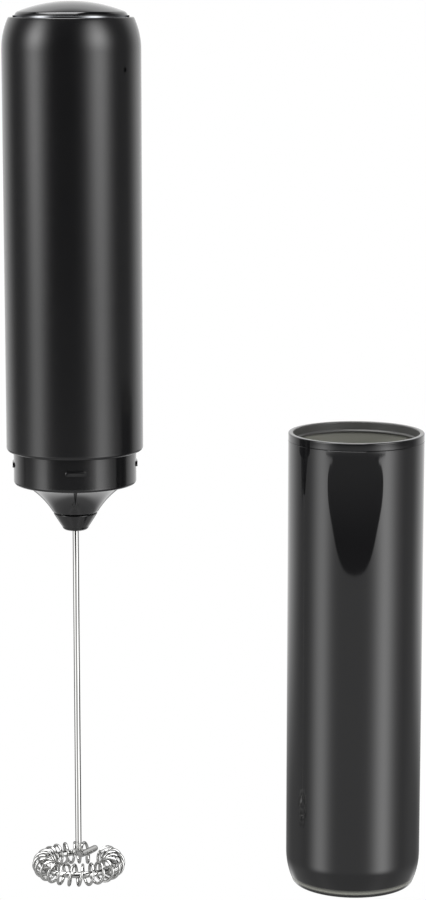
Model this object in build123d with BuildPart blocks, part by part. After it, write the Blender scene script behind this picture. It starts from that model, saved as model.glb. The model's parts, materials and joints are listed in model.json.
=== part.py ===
from build123d import *
from math import cos, pi, radians, sin, sqrt
import os

# Hand-held rechargeable milk frother with a push-on cover, in millimetres.
# The handle stands upright on the Z axis, whisk down, button up. The origin is the middle of the grip.
# The front of the handle faces -Y. The cover stands beside the handle, on +X, with its mouth up.

# ---- driving dimensions ----
handle_diameter = 35.0
handle_length = 109.6
shell_wall = 1.6
shoulder_height = 8.0
shoulder_inset = 1.8
foot_fillet = 0.9
shoulder_edge_fillet = 0.35

button_diameter = 28.4
button_dome_radius = 36.2
button_rise = 4.0
button_edge_fillet = 1.4
button_travel = 0.8
bezel_bore_diameter = 29.2
bezel_proud = 0.45
bezel_depth = 1.4

collar_diameter = 31.5
collar_visible = 8.62
cone_length = 7.4
seam_gap = 0.4
hub_below_collar = 12.3
whisk_drop = 90.1
ring_radius = 9.25
coil_radius = 2.62
coil_wire_diameter = 0.75
whisk_wire_diameter = 1.6
coil_turns = 24

cover_length = 119.5
cover_wall = 1.3
cover_spacing = 72.2
cover_above_foot = 4.5

port_angle = 90
led_angle = -38.7
rib_angle = -86.4

# ---- levels and radii that follow from them ----
handle_r = handle_diameter / 2
shell_in_r = handle_r - shell_wall
grip_length = handle_length - shoulder_height - foot_fillet
shoulder_z = grip_length / 2
shell_top = shoulder_z + shoulder_height
shell_bottom = shell_top - handle_length
shoulder_arc_r = (shoulder_height**2 + shoulder_inset**2) / (2 * shoulder_inset)
collar_r = collar_diameter / 2
collar_bottom = shell_bottom - collar_visible
cone_bottom = collar_bottom - cone_length
hub_top = cone_bottom - seam_gap
hub_bottom = collar_bottom - hub_below_collar
ring_z = hub_bottom - whisk_drop
cover_mouth = shell_bottom + cover_above_foot
cover_base = cover_mouth - cover_length

os.makedirs("parts", exist_ok=True)


def radial_plane(angle, z, distance=0.0):
    """A plane that faces outwards from the handle's axis at an angle, standing upright."""
    out = (cos(radians(angle)), sin(radians(angle)), 0)
    side = (-out[1], out[0], 0)
    return Plane(origin=(out[0] * distance, out[1] * distance, z), x_dir=side, z_dir=out)


# ---- handle shell: one moulded tube, open below, with a lip that keeps the button in ----
lip_r = button_diameter / 2 + 0.15
lip_z = shell_top - 5.0
inner_arc_r = shoulder_arc_r - shell_wall
inner_arc_end = shell_in_r - (inner_arc_r - sqrt(inner_arc_r**2 - (lip_z - shoulder_z) ** 2))
bezel_r = bezel_bore_diameter / 2
board_top = shell_top - 14.3
port_z = board_top + 1.6
port_plug = (9.4, 3.7)
port_recess = (12.4, 6.6)
port_recess_depth = 0.9
window_diameter = 1.2

with BuildPart() as handle_shell:
    with BuildSketch(Plane.XZ):
        with BuildLine():
            Line((handle_r, shell_bottom), (handle_r, shoulder_z))
            TangentArc((handle_r, shoulder_z), (handle_r - shoulder_inset, shell_top), tangent=(0, 1))
            Polyline(
                (handle_r - shoulder_inset, shell_top),
                (bezel_r, shell_top),
                (bezel_r, shell_top - bezel_depth),
                (lip_r, shell_top - bezel_depth),
                (lip_r, lip_z),
                (inner_arc_end, lip_z),
            )
            TangentArc((shell_in_r, shoulder_z), (inner_arc_end, lip_z), tangent=(0, 1))
            Line((shell_in_r, shoulder_z), (shell_in_r, shell_bottom))
            Line((shell_in_r, shell_bottom), (handle_r, shell_bottom))
        make_face()
    revolve(axis=Axis.Z)
    foot_edges = handle_shell.edges().filter_by(GeomType.CIRCLE).group_by(Axis.Z)[0]
    fillet(foot_edges.sort_by(SortBy.RADIUS)[-1], radius=foot_fillet)
    top_edges = handle_shell.edges().filter_by(GeomType.CIRCLE).group_by(Axis.Z)[-1]
    fillet(top_edges.sort_by(SortBy.RADIUS)[-1], radius=shoulder_edge_fillet)
    with BuildSketch(radial_plane(port_angle, port_z, handle_r + 1)):
        SlotOverall(*port_recess)
    extrude(amount=-1 - port_recess_depth, mode=Mode.SUBTRACT)
    with BuildSketch(radial_plane(port_angle, port_z, handle_r + 1)):
        SlotOverall(*port_plug)
    extrude(amount=-5, mode=Mode.SUBTRACT)
    with BuildSketch(radial_plane(led_angle, port_z)):
        Circle(window_diameter / 2)
    extrude(amount=handle_r + 1, mode=Mode.SUBTRACT)
handle_shell.part.label = "handle_shell"
export_step(handle_shell.part, "parts/handle_shell.step")

# ---- bezel ring: plated ring pressed into the top of the shell ----
bezel_in_r = button_diameter / 2 + 0.1
bezel_top = shell_top + bezel_proud

with BuildPart() as bezel_ring:
    with BuildSketch(Plane.XY.offset(shell_top - bezel_depth)):
        Circle(bezel_r)
        Circle(bezel_in_r, mode=Mode.SUBTRACT)
    extrude(amount=bezel_top - shell_top + bezel_depth)
    fillet(bezel_ring.edges().group_by(Axis.Z)[-1], radius=0.12)
bezel_ring.part.label = "bezel_ring"
export_step(bezel_ring.part, "parts/bezel_ring.step")

# ---- power button: hollow dome with a retaining flange, a stem and four ribs ----
button_r = button_diameter / 2
button_top = shell_top + button_rise
button_wall = 1.4
dome_sag = button_dome_radius - sqrt(button_dome_radius**2 - button_r**2)
dome_edge_z = button_top - dome_sag
flange_top = lip_z - 0.1
flange_bottom = flange_top - 1.2
flange_r = button_r + 0.9
inner_dome_r = button_dome_radius - button_wall
skirt_in_r = button_r - button_wall
inner_sag = inner_dome_r - sqrt(inner_dome_r**2 - skirt_in_r**2)
inner_dome_top = button_top - button_wall
stem_r = 2.2
rib_thickness = 1.2
button_rib_bottom = flange_top + 1.5
rib_overlap = 0.4
switch_body = (6.0, 6.0, 3.4)
plunger_diameter = 3.4
plunger_top = board_top + 7.2
plunger_bottom = board_top + 1.5

with BuildPart() as power_button:
    with BuildSketch(Plane.XZ):
        with BuildLine():
            Line((0, inner_dome_top), (0, button_top))
            ThreePointArc(
                (0, button_top),
                (button_r / 2, button_top - button_dome_radius + sqrt(button_dome_radius**2 - button_r**2 / 4)),
                (button_r, dome_edge_z),
            )
            Polyline(
                (button_r, dome_edge_z),
                (button_r, flange_top),
                (flange_r, flange_top),
                (flange_r, flange_bottom),
                (skirt_in_r, flange_bottom),
                (skirt_in_r, inner_dome_top - inner_sag),
            )
            ThreePointArc(
                (skirt_in_r, inner_dome_top - inner_sag),
                (skirt_in_r / 2, inner_dome_top - inner_dome_r + sqrt(inner_dome_r**2 - skirt_in_r**2 / 4)),
                (0, inner_dome_top),
            )
        make_face()
    revolve(axis=Axis.Z)
    dome_edge = power_button.edges().filter_by(GeomType.CIRCLE).filter_by_position(
        Axis.Z, dome_edge_z - 0.01, dome_edge_z + 0.01
    )
    fillet(dome_edge, radius=button_edge_fillet)
    with BuildSketch(Plane.XY.offset(plunger_top)):
        Circle(stem_r)
    extrude(until=Until.NEXT)
    with BuildSketch(Plane.XY.offset(button_rib_bottom)):
        Rectangle(2 * skirt_in_r + rib_overlap, rib_thickness)
        Rectangle(rib_thickness, 2 * skirt_in_r + rib_overlap)
    extrude(until=Until.NEXT)
power_button.part.label = "power_button"
export_step(power_button.part, "parts/power_button.step")

# ---- circuit board: round, under the button, with holes for its screws and the leads ----
board_r = 14.6
board_thickness = 1.6
board_bottom = board_top - board_thickness
post_radius = 12.0
post_angles = (40, 140, 270)
screw_angles = (40, 140)
battery_lead_x = 12.8
battery_lead_y = -3.3
motor_lead_x = 10.6
motor_lead_y = -7.9
lead_diameter = 1.2
board_hole_r = 1.1

with BuildPart() as circuit_board:
    with BuildSketch(Plane.XY.offset(board_bottom)):
        Circle(board_r)
        for angle in screw_angles:
            with PolarLocations(post_radius, 1, start_angle=angle):
                Circle(board_hole_r, mode=Mode.SUBTRACT)
    extrude(amount=board_thickness)
circuit_board.part.label = "circuit_board"
export_step(circuit_board.part, "parts/circuit_board.step")

# ---- parts soldered on the board: charger chip, transistor, coil, capacitors, resistors ----
component_spots = [
    (-7.6, -4.0, 5.0, 4.0, 1.5),
    (-8.0, 2.0, 3.0, 3.0, 2.4),
    (7.4, -2.2, 2.9, 1.6, 1.1),
    (7.6, 2.4, 4.0, 4.0, 2.0),
    (-2.4, -7.6, 2.0, 1.25, 0.8),
    (1.2, -7.6, 2.0, 1.25, 0.8),
    (4.8, -7.0, 2.0, 1.25, 0.8),
    (-3.6, -10.8, 1.6, 0.8, 0.6),
    (3.6, -10.8, 1.6, 0.8, 0.6),
]

with BuildPart() as board_components:
    for spot_x, spot_y, long_side, short_side, height in component_spots:
        with BuildSketch(Plane.XY.offset(board_top)):
            with Locations((spot_x, spot_y)):
                Rectangle(long_side, short_side)
        extrude(amount=height)
board_components.part.label = "board_components"
export_step(board_components.part, "parts/board_components.step")

# ---- charging light: a side-looking chip at the edge of the board ----
with BuildPart() as charge_led:
    with BuildSketch(radial_plane(led_angle, board_top + 1.2, 12.8)):
        Rectangle(3.0, 2.4)
    extrude(amount=1.4)
charge_led.part.label = "charge_led"
export_step(charge_led.part, "parts/charge_led.step")

# ---- light pipe: a stepped clear pin from the charging light to the window ----
with BuildPart() as light_pipe:
    with BuildSketch(radial_plane(led_angle, port_z, 14.4)):
        Circle(1.3)
    extrude(amount=1.0)
    with BuildSketch(radial_plane(led_angle, port_z, 15.4)):
        Circle(window_diameter / 2 - 0.03)
    extrude(amount=1.75)
light_pipe.part.label = "light_pipe"
export_step(light_pipe.part, "parts/light_pipe.step")

# ---- charging socket: pressed steel tube with a tongue inside, on the back edge of the board ----
socket_mouth_y = 15.2
socket_depth = 7.35
socket_outer = (8.94, 3.2)
socket_inner = (8.34, 2.6)
socket_tongue = (6.7, 0.7)

with BuildPart() as charge_socket:
    with BuildSketch(radial_plane(port_angle, port_z, socket_mouth_y)):
        SlotOverall(*socket_outer)
    extrude(amount=-socket_depth)
    with BuildSketch(radial_plane(port_angle, port_z, socket_mouth_y)):
        SlotOverall(*socket_inner)
        Rectangle(*socket_tongue, mode=Mode.SUBTRACT)
    extrude(amount=-socket_depth + 1.2, mode=Mode.SUBTRACT)
    with BuildSketch(radial_plane(port_angle, port_z, socket_mouth_y)):
        Rectangle(*socket_tongue)
    extrude(amount=-0.8, mode=Mode.SUBTRACT)
charge_socket.part.label = "charge_socket"
export_step(charge_socket.part, "parts/charge_socket.step")

# ---- tact switch: square body in the middle of the board, bored for its plunger ----
with BuildPart() as tact_switch:
    with BuildSketch(Plane.XY.offset(board_top)):
        RectangleRounded(switch_body[0], switch_body[1], 0.4)
    extrude(amount=switch_body[2])
    with BuildSketch(Plane.XY.offset(plunger_bottom - button_travel - 0.2)):
        Circle(plunger_diameter / 2 + 0.15)
    extrude(amount=5, mode=Mode.SUBTRACT)
tact_switch.part.label = "tact_switch"
export_step(tact_switch.part, "parts/tact_switch.step")

# ---- switch plunger: the pin that the button's stem pushes ----
with BuildPart() as switch_plunger:
    with BuildSketch(Plane.XY.offset(plunger_bottom)):
        Circle(plunger_diameter / 2)
    extrude(amount=plunger_top - plunger_bottom)
    chamfer(switch_plunger.edges().group_by(Axis.Z)[-1], length=0.3)
switch_plunger.part.label = "switch_plunger"
export_step(switch_plunger.part, "parts/switch_plunger.step")

# ---- chassis: two decks, a half-round cradle for the cell, three rails and the motor sleeve ----
deck_r = 15.4
deck_thickness = 2.0
top_deck_top = board_bottom - 1.5
cell_r = 9.15
cell_length = 65.0
cell_top = board_top - 6.3
cell_bottom = cell_top - cell_length
low_deck_top = cell_bottom - 0.6
cradle_in_r = cell_r + 0.25
cradle_wall = 1.2
motor_r = 12.2
damper_thickness = 0.7
sleeve_in_r = motor_r + damper_thickness
sleeve_wall = 1.25
sleeve_bottom = shell_bottom - 2.3
clip_z = shell_bottom + 6.2
post_r = 2.2
tab_slot = (7.0, 2.4)
lead_hole_r = 1.6
rail_thickness = 1.4
rail_inner_r = cradle_in_r + 0.6
cradle_depth = 1.5
screw_pilot_r = 0.95
screw_pilot_depth = 4.5
low_deck_bottom = low_deck_top - deck_thickness
lead_hole_share = 0.94
lead_hole_x = motor_lead_x * lead_hole_share
lead_hole_y = motor_lead_y * lead_hole_share

with BuildPart() as chassis:
    for deck_z in (top_deck_top - deck_thickness, low_deck_bottom):
        with BuildSketch(Plane.XY.offset(deck_z)):
            Circle(deck_r)
            with Locations((battery_lead_x, battery_lead_y), (-battery_lead_x, battery_lead_y)):
                Rectangle(*tab_slot, mode=Mode.SUBTRACT)
            with Locations((lead_hole_x, lead_hole_y), (-lead_hole_x, lead_hole_y)):
                Circle(lead_hole_r, mode=Mode.SUBTRACT)
        extrude(amount=deck_thickness)
    with BuildSketch(Plane.XY.offset(low_deck_bottom)):
        Circle(cradle_in_r + cradle_wall)
        Circle(cradle_in_r, mode=Mode.SUBTRACT)
        with Locations((0, -cradle_depth - deck_r)):
            Rectangle(2 * deck_r, 2 * deck_r, mode=Mode.SUBTRACT)
        for angle in (30, 90, 150):
            with PolarLocations((deck_r + rail_inner_r) / 2, 1, start_angle=angle):
                Rectangle(deck_r - rail_inner_r, rail_thickness)
    extrude(amount=top_deck_top - low_deck_bottom)
    with BuildSketch(Plane.XY.offset(top_deck_top)):
        for angle in post_angles:
            with PolarLocations(post_radius, 1, start_angle=angle):
                Circle(post_r)
    extrude(amount=board_bottom - top_deck_top)
    with BuildSketch(Plane.XY.offset(board_bottom)):
        for angle in screw_angles:
            with PolarLocations(post_radius, 1, start_angle=angle):
                Circle(screw_pilot_r)
    extrude(amount=-screw_pilot_depth, mode=Mode.SUBTRACT)
    with BuildSketch(Plane.XY.offset(low_deck_bottom)):
        Circle(sleeve_in_r + sleeve_wall)
        Circle(sleeve_in_r, mode=Mode.SUBTRACT)
    extrude(amount=sleeve_bottom - low_deck_bottom)
    for angle in (0, 180):
        with BuildSketch(radial_plane(angle, clip_z, sleeve_in_r + sleeve_wall - 0.5)):
            Rectangle(4.6, 1.6)
        extrude(amount=1.2)
chassis.part.label = "chassis"
export_step(chassis.part, "parts/chassis.step")

# ---- board screws: two pan-head self-tapping screws ----
screw_length = 5.2
screw_r = 0.9
screw_head_r = 1.8
screw_head_height = 1.3
screw_cross = (2.0, 0.4)
screw_cross_depth = 0.7

with BuildPart() as board_screws:
    for angle in screw_angles:
        with BuildSketch(Plane.XY.offset(board_top - screw_length)):
            with PolarLocations(post_radius, 1, start_angle=angle):
                Circle(screw_r)
        extrude(amount=screw_length)
        with BuildSketch(Plane.XY.offset(board_top)):
            with PolarLocations(post_radius, 1, start_angle=angle):
                Circle(screw_head_r)
        extrude(amount=screw_head_height)
        with BuildSketch(Plane.XY.offset(board_top + screw_head_height)):
            with PolarLocations(post_radius, 1, start_angle=angle):
                Rectangle(screw_cross[0], screw_cross[1])
                Rectangle(screw_cross[1], screw_cross[0])
        extrude(amount=-screw_cross_depth, mode=Mode.SUBTRACT)
board_screws.part.label = "board_screws"
export_step(board_screws.part, "parts/board_screws.step")

# ---- lithium cell: steel can with a crimp groove near the positive end ----
cell_nub_r = 4.0
cell_nub_height = 0.7
crimp_depth = 0.6
crimp_z = cell_top - 3.4

with BuildPart() as battery_cell:
    with BuildSketch(Plane.XZ):
        with BuildLine():
            Polyline(
                (0, cell_bottom),
                (cell_r, cell_bottom),
                (cell_r, crimp_z - crimp_depth),
                (cell_r - crimp_depth, crimp_z),
                (cell_r, crimp_z + crimp_depth),
                (cell_r, cell_top),
                (cell_nub_r, cell_top),
                (cell_nub_r, cell_top + cell_nub_height),
                (0, cell_top + cell_nub_height),
                (0, cell_bottom),
            )
        make_face()
    revolve(axis=Axis.Z)
battery_cell.part.label = "battery_cell"
export_step(battery_cell.part, "parts/battery_cell.step")

# ---- battery tabs: nickel strips welded to both ends of the cell ----
tab_thickness = 0.25
tab_reach = battery_lead_x + 1.0
tab_weld = 2.5
tab_width = 2.0

with BuildPart() as battery_tabs:
    with BuildSketch(Plane.XY.offset(cell_top + cell_nub_height)):
        with Locations(((tab_reach - tab_weld) / 2, battery_lead_y)):
            Rectangle(tab_reach + tab_weld, tab_width)
    extrude(amount=tab_thickness)
    with BuildSketch(Plane.XY.offset(cell_bottom - tab_thickness)):
        with Locations((-(tab_reach - tab_weld) / 2, battery_lead_y)):
            Rectangle(tab_reach + tab_weld, tab_width)
    extrude(amount=tab_thickness)
battery_tabs.part.label = "battery_tabs"
export_step(battery_tabs.part, "parts/battery_tabs.step")

# ---- battery leads: straight runs from the tabs up to the board ----
with BuildPart() as battery_lead_positive:
    with BuildSketch(Plane.XY.offset(cell_top + cell_nub_height + tab_thickness)):
        with Locations((battery_lead_x, battery_lead_y)):
            Circle(lead_diameter / 2)
    extrude(amount=board_bottom - cell_top - cell_nub_height - tab_thickness)
battery_lead_positive.part.label = "battery_lead_positive"
export_step(battery_lead_positive.part, "parts/battery_lead_positive.step")

with BuildPart() as battery_lead_negative:
    with BuildSketch(Plane.XY.offset(cell_bottom)):
        with Locations((-battery_lead_x, battery_lead_y)):
            Circle(lead_diameter / 2)
    extrude(amount=board_bottom - cell_bottom)
battery_lead_negative.part.label = "battery_lead_negative"
export_step(battery_lead_negative.part, "parts/battery_lead_negative.step")

# ---- motor can: deep-drawn steel cup with a bearing boss in front ----
motor_front = collar_bottom + 2.45
motor_can_length = 21.2
motor_can_wall = 0.8
motor_can_top = motor_front + motor_can_length
motor_screw_circle_r = 8.0
motor_screw_r = 1.0
boss_r = 3.0
boss_length = 1.5
bearing_r = 2.2
shaft_r = 1.0

with BuildPart() as motor_can:
    with BuildSketch(Plane.XY.offset(motor_front)):
        Circle(motor_r)
    extrude(amount=motor_can_length)
    with BuildSketch(Plane.XY.offset(motor_front + motor_can_wall)):
        Circle(motor_r - motor_can_wall)
    extrude(amount=motor_can_length, mode=Mode.SUBTRACT)
    with BuildSketch(Plane.XY.offset(motor_front - boss_length)):
        Circle(boss_r)
    extrude(amount=boss_length + motor_can_wall)
    with BuildSketch(Plane.XY.offset(motor_front - boss_length)):
        Circle(bearing_r)
        with PolarLocations(motor_screw_circle_r, 2):
            Circle(motor_screw_r)
    extrude(amount=boss_length + motor_can_wall, mode=Mode.SUBTRACT)
motor_can.part.label = "motor_can"
export_step(motor_can.part, "parts/motor_can.step")

# ---- motor end cap: plastic disc with the rear bearing boss ----
end_cap_thickness = 3.5
end_cap_top = motor_can_top + end_cap_thickness
brush_space = 1.9
brush_space_r = 9.6
terminal_x = 8.0
terminal_thickness = 0.5
terminal_width = 2.2
terminal_height = 1.2

with BuildPart() as motor_end_cap:
    with BuildSketch(Plane.XY.offset(motor_can_top)):
        Circle(motor_r)
    extrude(amount=end_cap_thickness)
    with BuildSketch(Plane.XY.offset(end_cap_top)):
        Circle(boss_r)
    extrude(amount=1.0)
    with BuildSketch(Plane.XY.offset(motor_can_top)):
        Circle(brush_space_r)
    extrude(amount=brush_space, mode=Mode.SUBTRACT)
    with BuildSketch(Plane.XY.offset(motor_can_top)):
        Circle(bearing_r)
        with Locations((terminal_x, 0), (-terminal_x, 0)):
            Rectangle(terminal_thickness, terminal_width)
    extrude(amount=end_cap_thickness + 0.6, mode=Mode.SUBTRACT)
motor_end_cap.part.label = "motor_end_cap"
export_step(motor_end_cap.part, "parts/motor_end_cap.step")

# ---- motor bearings: two sintered bushes ----
with BuildPart() as motor_front_bearing:
    with BuildSketch(Plane.XY.offset(motor_front - boss_length)):
        Circle(bearing_r)
        Circle(shaft_r + 0.06, mode=Mode.SUBTRACT)
    extrude(amount=boss_length + motor_can_wall)
motor_front_bearing.part.label = "motor_front_bearing"
export_step(motor_front_bearing.part, "parts/motor_front_bearing.step")

with BuildPart() as motor_rear_bearing:
    with BuildSketch(Plane.XY.offset(end_cap_top - 1.6)):
        Circle(bearing_r)
        Circle(shaft_r + 0.06, mode=Mode.SUBTRACT)
    extrude(amount=2.2)
motor_rear_bearing.part.label = "motor_rear_bearing"
export_step(motor_rear_bearing.part, "parts/motor_rear_bearing.step")

# ---- motor magnets: two arched ferrite segments bonded inside the can ----
magnet_out_r = motor_r - motor_can_wall
magnet_in_r = magnet_out_r - 2.0
magnet_bottom = motor_front + 3.5
magnet_length = 14.0

with BuildPart() as motor_magnets:
    with BuildSketch(Plane.XY.offset(magnet_bottom)):
        Circle(magnet_out_r)
        Circle(magnet_in_r, mode=Mode.SUBTRACT)
        Rectangle(9.0, 2 * motor_r, mode=Mode.SUBTRACT)
    extrude(amount=magnet_length)
motor_magnets.part.label = "motor_magnets"
export_step(motor_magnets.part, "parts/motor_magnets.step")

# ---- armature: slotted lamination stack on the shaft ----
armature_r = magnet_in_r - 0.5
armature_bottom = magnet_bottom + 1.5
armature_length = 11.0
commutator_r = 2.6
commutator_bottom = motor_can_top - 2.4
commutator_length = 4.1
winding_height = 1.8
winding_out_r = 7.4
winding_in_r = 3.2

with BuildPart() as motor_armature:
    with BuildSketch(Plane.XY.offset(armature_bottom)):
        Circle(armature_r)
        Circle(shaft_r, mode=Mode.SUBTRACT)
        with PolarLocations(5.6, 5):
            Circle(1.7, mode=Mode.SUBTRACT)
        with PolarLocations(armature_r - 1.2, 5):
            Rectangle(3.0, 0.9, mode=Mode.SUBTRACT)
    extrude(amount=armature_length)
motor_armature.part.label = "motor_armature"
export_step(motor_armature.part, "parts/motor_armature.step")

# ---- windings: the wound heads of copper wire at both ends of the stack ----
with BuildPart() as motor_windings:
    for winding_z in (armature_bottom - winding_height, armature_bottom + armature_length):
        with BuildSketch(Plane.XY.offset(winding_z)):
            Circle(winding_out_r)
            Circle(winding_in_r, mode=Mode.SUBTRACT)
        extrude(amount=winding_height)
    fillet(motor_windings.edges().filter_by(GeomType.CIRCLE).sort_by(Axis.Z)[-1], radius=0.6)
motor_windings.part.label = "motor_windings"
export_step(motor_windings.part, "parts/motor_windings.step")

with BuildPart() as motor_commutator:
    with BuildSketch(Plane.XY.offset(commutator_bottom)):
        Circle(commutator_r)
        Circle(shaft_r, mode=Mode.SUBTRACT)
        with PolarLocations(commutator_r, 5):
            Rectangle(0.8, 0.3, mode=Mode.SUBTRACT)
    extrude(amount=commutator_length)
motor_commutator.part.label = "motor_commutator"
export_step(motor_commutator.part, "parts/motor_commutator.step")

# ---- motor brushes: two sprung strips that end as the terminals above the end cap ----
brush_x = commutator_r + 0.35
brush_height = 1.6

with BuildPart() as motor_brushes:
    for side in (-1, 1):
        with BuildSketch(Plane.XY.offset(motor_can_top)):
            with Locations((side * (brush_x + 0.2), 0)):
                Rectangle(0.4, 2.4)
            with Locations((side * (brush_x + terminal_x) / 2, 0.9)):
                Rectangle(terminal_x - brush_x, 0.4)
        extrude(amount=brush_height)
        with BuildSketch(Plane.XY.offset(motor_can_top)):
            with Locations((side * terminal_x, 0)):
                Rectangle(terminal_thickness, terminal_width)
        extrude(amount=end_cap_thickness + terminal_height)
motor_brushes.part.label = "motor_brushes"
export_step(motor_brushes.part, "parts/motor_brushes.step")

# ---- motor leads: from the terminals out to the side of the cell and up to the board ----
lead_level = end_cap_top + terminal_height + lead_diameter / 2
lead_run = sqrt((motor_lead_x - terminal_x) ** 2 + motor_lead_y**2)
lead_bend = 0.45 * lead_run


def motor_lead_path(side):
    """The centre line of one motor lead: out from its terminal, then straight up."""
    return [
        (side * terminal_x, 0, lead_level),
        (side * motor_lead_x, motor_lead_y, lead_level),
        (side * motor_lead_x, motor_lead_y, board_bottom),
    ]


def motor_lead_start(side):
    """The plane across the start of a motor lead."""
    away = (side * (motor_lead_x - terminal_x) / lead_run, motor_lead_y / lead_run, 0)
    return Plane(origin=(side * terminal_x, 0, lead_level), z_dir=away)


with BuildPart() as motor_lead_red:
    with BuildLine() as red_route:
        FilletPolyline(*motor_lead_path(1), radius=lead_bend)
    with BuildSketch(motor_lead_start(1)):
        Circle(lead_diameter / 2)
    sweep(path=red_route.wires()[0])
motor_lead_red.part.label = "motor_lead_red"
export_step(motor_lead_red.part, "parts/motor_lead_red.step")

with BuildPart() as motor_lead_black:
    with BuildLine() as black_route:
        FilletPolyline(*motor_lead_path(-1), radius=lead_bend)
    with BuildSketch(motor_lead_start(-1)):
        Circle(lead_diameter / 2)
    sweep(path=black_route.wires()[0])
motor_lead_black.part.label = "motor_lead_black"
export_step(motor_lead_black.part, "parts/motor_lead_black.step")

# ---- damper rings: two rubber bands between the motor and its sleeve ----
damper_height = 2.0

with BuildPart() as motor_dampers:
    for damper_z in (motor_can_top - 3.0, sleeve_bottom + 1.0):
        with BuildSketch(Plane.XY.offset(damper_z)):
            Circle(sleeve_in_r)
            Circle(motor_r, mode=Mode.SUBTRACT)
        extrude(amount=damper_height)
motor_dampers.part.label = "motor_dampers"
export_step(motor_dampers.part, "parts/motor_dampers.step")

# ---- collar: closes the handle from below, carries the motor and the four snap ribs ----
collar_wall = 1.35
collar_top = shell_bottom + 10.0
ring_groove_z = shell_bottom + 3.2
ring_groove_depth = 0.75
rib_z = collar_bottom + 5.05
rib_size = (5.3, 1.35)
rib_proud = 0.4
cone_top_r = 13.4
cone_spigot_r = 12.4

with BuildPart() as collar:
    with BuildSketch(Plane.XY.offset(collar_bottom)):
        Circle(collar_r)
    extrude(amount=collar_top - collar_bottom)
    fillet(collar.edges().filter_by(GeomType.CIRCLE).sort_by(Axis.Z)[0], radius=0.8)
    with BuildSketch(Plane.XY.offset(motor_front)):
        Circle(collar_r - collar_wall)
    extrude(amount=collar_top - motor_front, mode=Mode.SUBTRACT)
    with BuildSketch(Plane.XY.offset(collar_bottom)):
        Circle(boss_r + 0.2)
        with PolarLocations(motor_screw_circle_r, 2):
            Circle(motor_screw_r + 0.35)
    extrude(amount=motor_front - collar_bottom, mode=Mode.SUBTRACT)
    with BuildSketch(Plane.XY.offset(collar_bottom)):
        Circle(cone_spigot_r)
        Circle(cone_spigot_r - 1.2, mode=Mode.SUBTRACT)
    extrude(amount=1.2, mode=Mode.SUBTRACT)
    with BuildSketch(Plane.XY.offset(ring_groove_z - 0.6)):
        Circle(collar_r + 1)
        Circle(collar_r - ring_groove_depth, mode=Mode.SUBTRACT)
    extrude(amount=1.2, mode=Mode.SUBTRACT)
    for angle in (0, 180):
        with BuildSketch(radial_plane(angle, clip_z)):
            Rectangle(5.0, 2.0)
        extrude(amount=collar_r + 1, mode=Mode.SUBTRACT)
    for step in range(4):
        with BuildSketch(radial_plane(rib_angle + 90 * step, rib_z, collar_r - 0.8)):
            SlotOverall(*rib_size)
        extrude(amount=0.8 + rib_proud)
collar.part.label = "collar"
export_step(collar.part, "parts/collar.step")

# ---- collar O-ring ----
with BuildPart() as collar_o_ring:
    with BuildSketch(Plane.XZ):
        with Locations((collar_r - ring_groove_depth + 0.45, ring_groove_z)):
            Circle(0.44)
    revolve(axis=Axis.Z)
collar_o_ring.part.label = "collar_o_ring"
export_step(collar_o_ring.part, "parts/collar_o_ring.step")

# ---- motor screws: two screws up through the collar's floor into the can ----
with BuildPart() as motor_screws:
    with BuildSketch(Plane.XY.offset(collar_bottom - 1.2)):
        with PolarLocations(motor_screw_circle_r, 2):
            Circle(2 * motor_screw_r)
    extrude(amount=1.2)
    with BuildSketch(Plane.XY.offset(collar_bottom)):
        with PolarLocations(motor_screw_circle_r, 2):
            Circle(motor_screw_r)
    extrude(amount=motor_front - collar_bottom + motor_can_wall)
motor_screws.part.label = "motor_screws"
export_step(motor_screws.part, "parts/motor_screws.step")

# ---- nose cone: flared hollow cone under the collar, with a spigot in the collar's groove ----
cone_tip_r = 5.9
cone_mid = (8.65, collar_bottom - 3.8)
cone_bore_r = 3.2

with BuildPart() as nose_cone:
    with BuildSketch(Plane.XZ):
        with BuildLine():
            ThreePointArc((cone_top_r, collar_bottom), cone_mid, (cone_tip_r, cone_bottom))
            Polyline(
                (cone_tip_r, cone_bottom),
                (cone_bore_r, cone_bottom),
                (cone_bore_r, cone_bottom + 1.4),
                (cone_spigot_r - 1.1, collar_bottom - 0.5),
                (cone_spigot_r - 1.1, collar_bottom + 1.1),
                (cone_spigot_r - 0.1, collar_bottom + 1.1),
                (cone_spigot_r - 0.1, collar_bottom),
                (cone_top_r, collar_bottom),
            )
        make_face()
    revolve(axis=Axis.Z)
nose_cone.part.label = "nose_cone"
export_step(nose_cone.part, "parts/nose_cone.step")

# ---- shaft seal: rubber washer round the motor shaft under the collar's floor ----
with BuildPart() as shaft_seal:
    with BuildSketch(Plane.XY.offset(collar_bottom - 1.0)):
        Circle(4.6)
        Circle(shaft_r + 0.15, mode=Mode.SUBTRACT)
    extrude(amount=1.0)
shaft_seal.part.label = "shaft_seal"
export_step(shaft_seal.part, "parts/shaft_seal.step")

# ---- motor shaft and the hexagonal drive bush pressed onto its end ----
bush_top = collar_bottom - 1.5
bush_bottom = hub_top - 1.1
bush_across_flats = 3.2

with BuildPart() as motor_shaft:
    with BuildSketch(Plane.XY.offset(bush_bottom + 0.3)):
        Circle(shaft_r)
    extrude(amount=end_cap_top + 0.4 - bush_bottom - 0.3)
motor_shaft.part.label = "motor_shaft"
export_step(motor_shaft.part, "parts/motor_shaft.step")

with BuildPart() as drive_bush:
    with BuildSketch(Plane.XY.offset(bush_bottom)):
        RegularPolygon(radius=bush_across_flats / 2, side_count=6, major_radius=False)
        Circle(shaft_r, mode=Mode.SUBTRACT)
    extrude(amount=bush_top - bush_bottom)
drive_bush.part.label = "drive_bush"
export_step(drive_bush.part, "parts/drive_bush.step")

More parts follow.
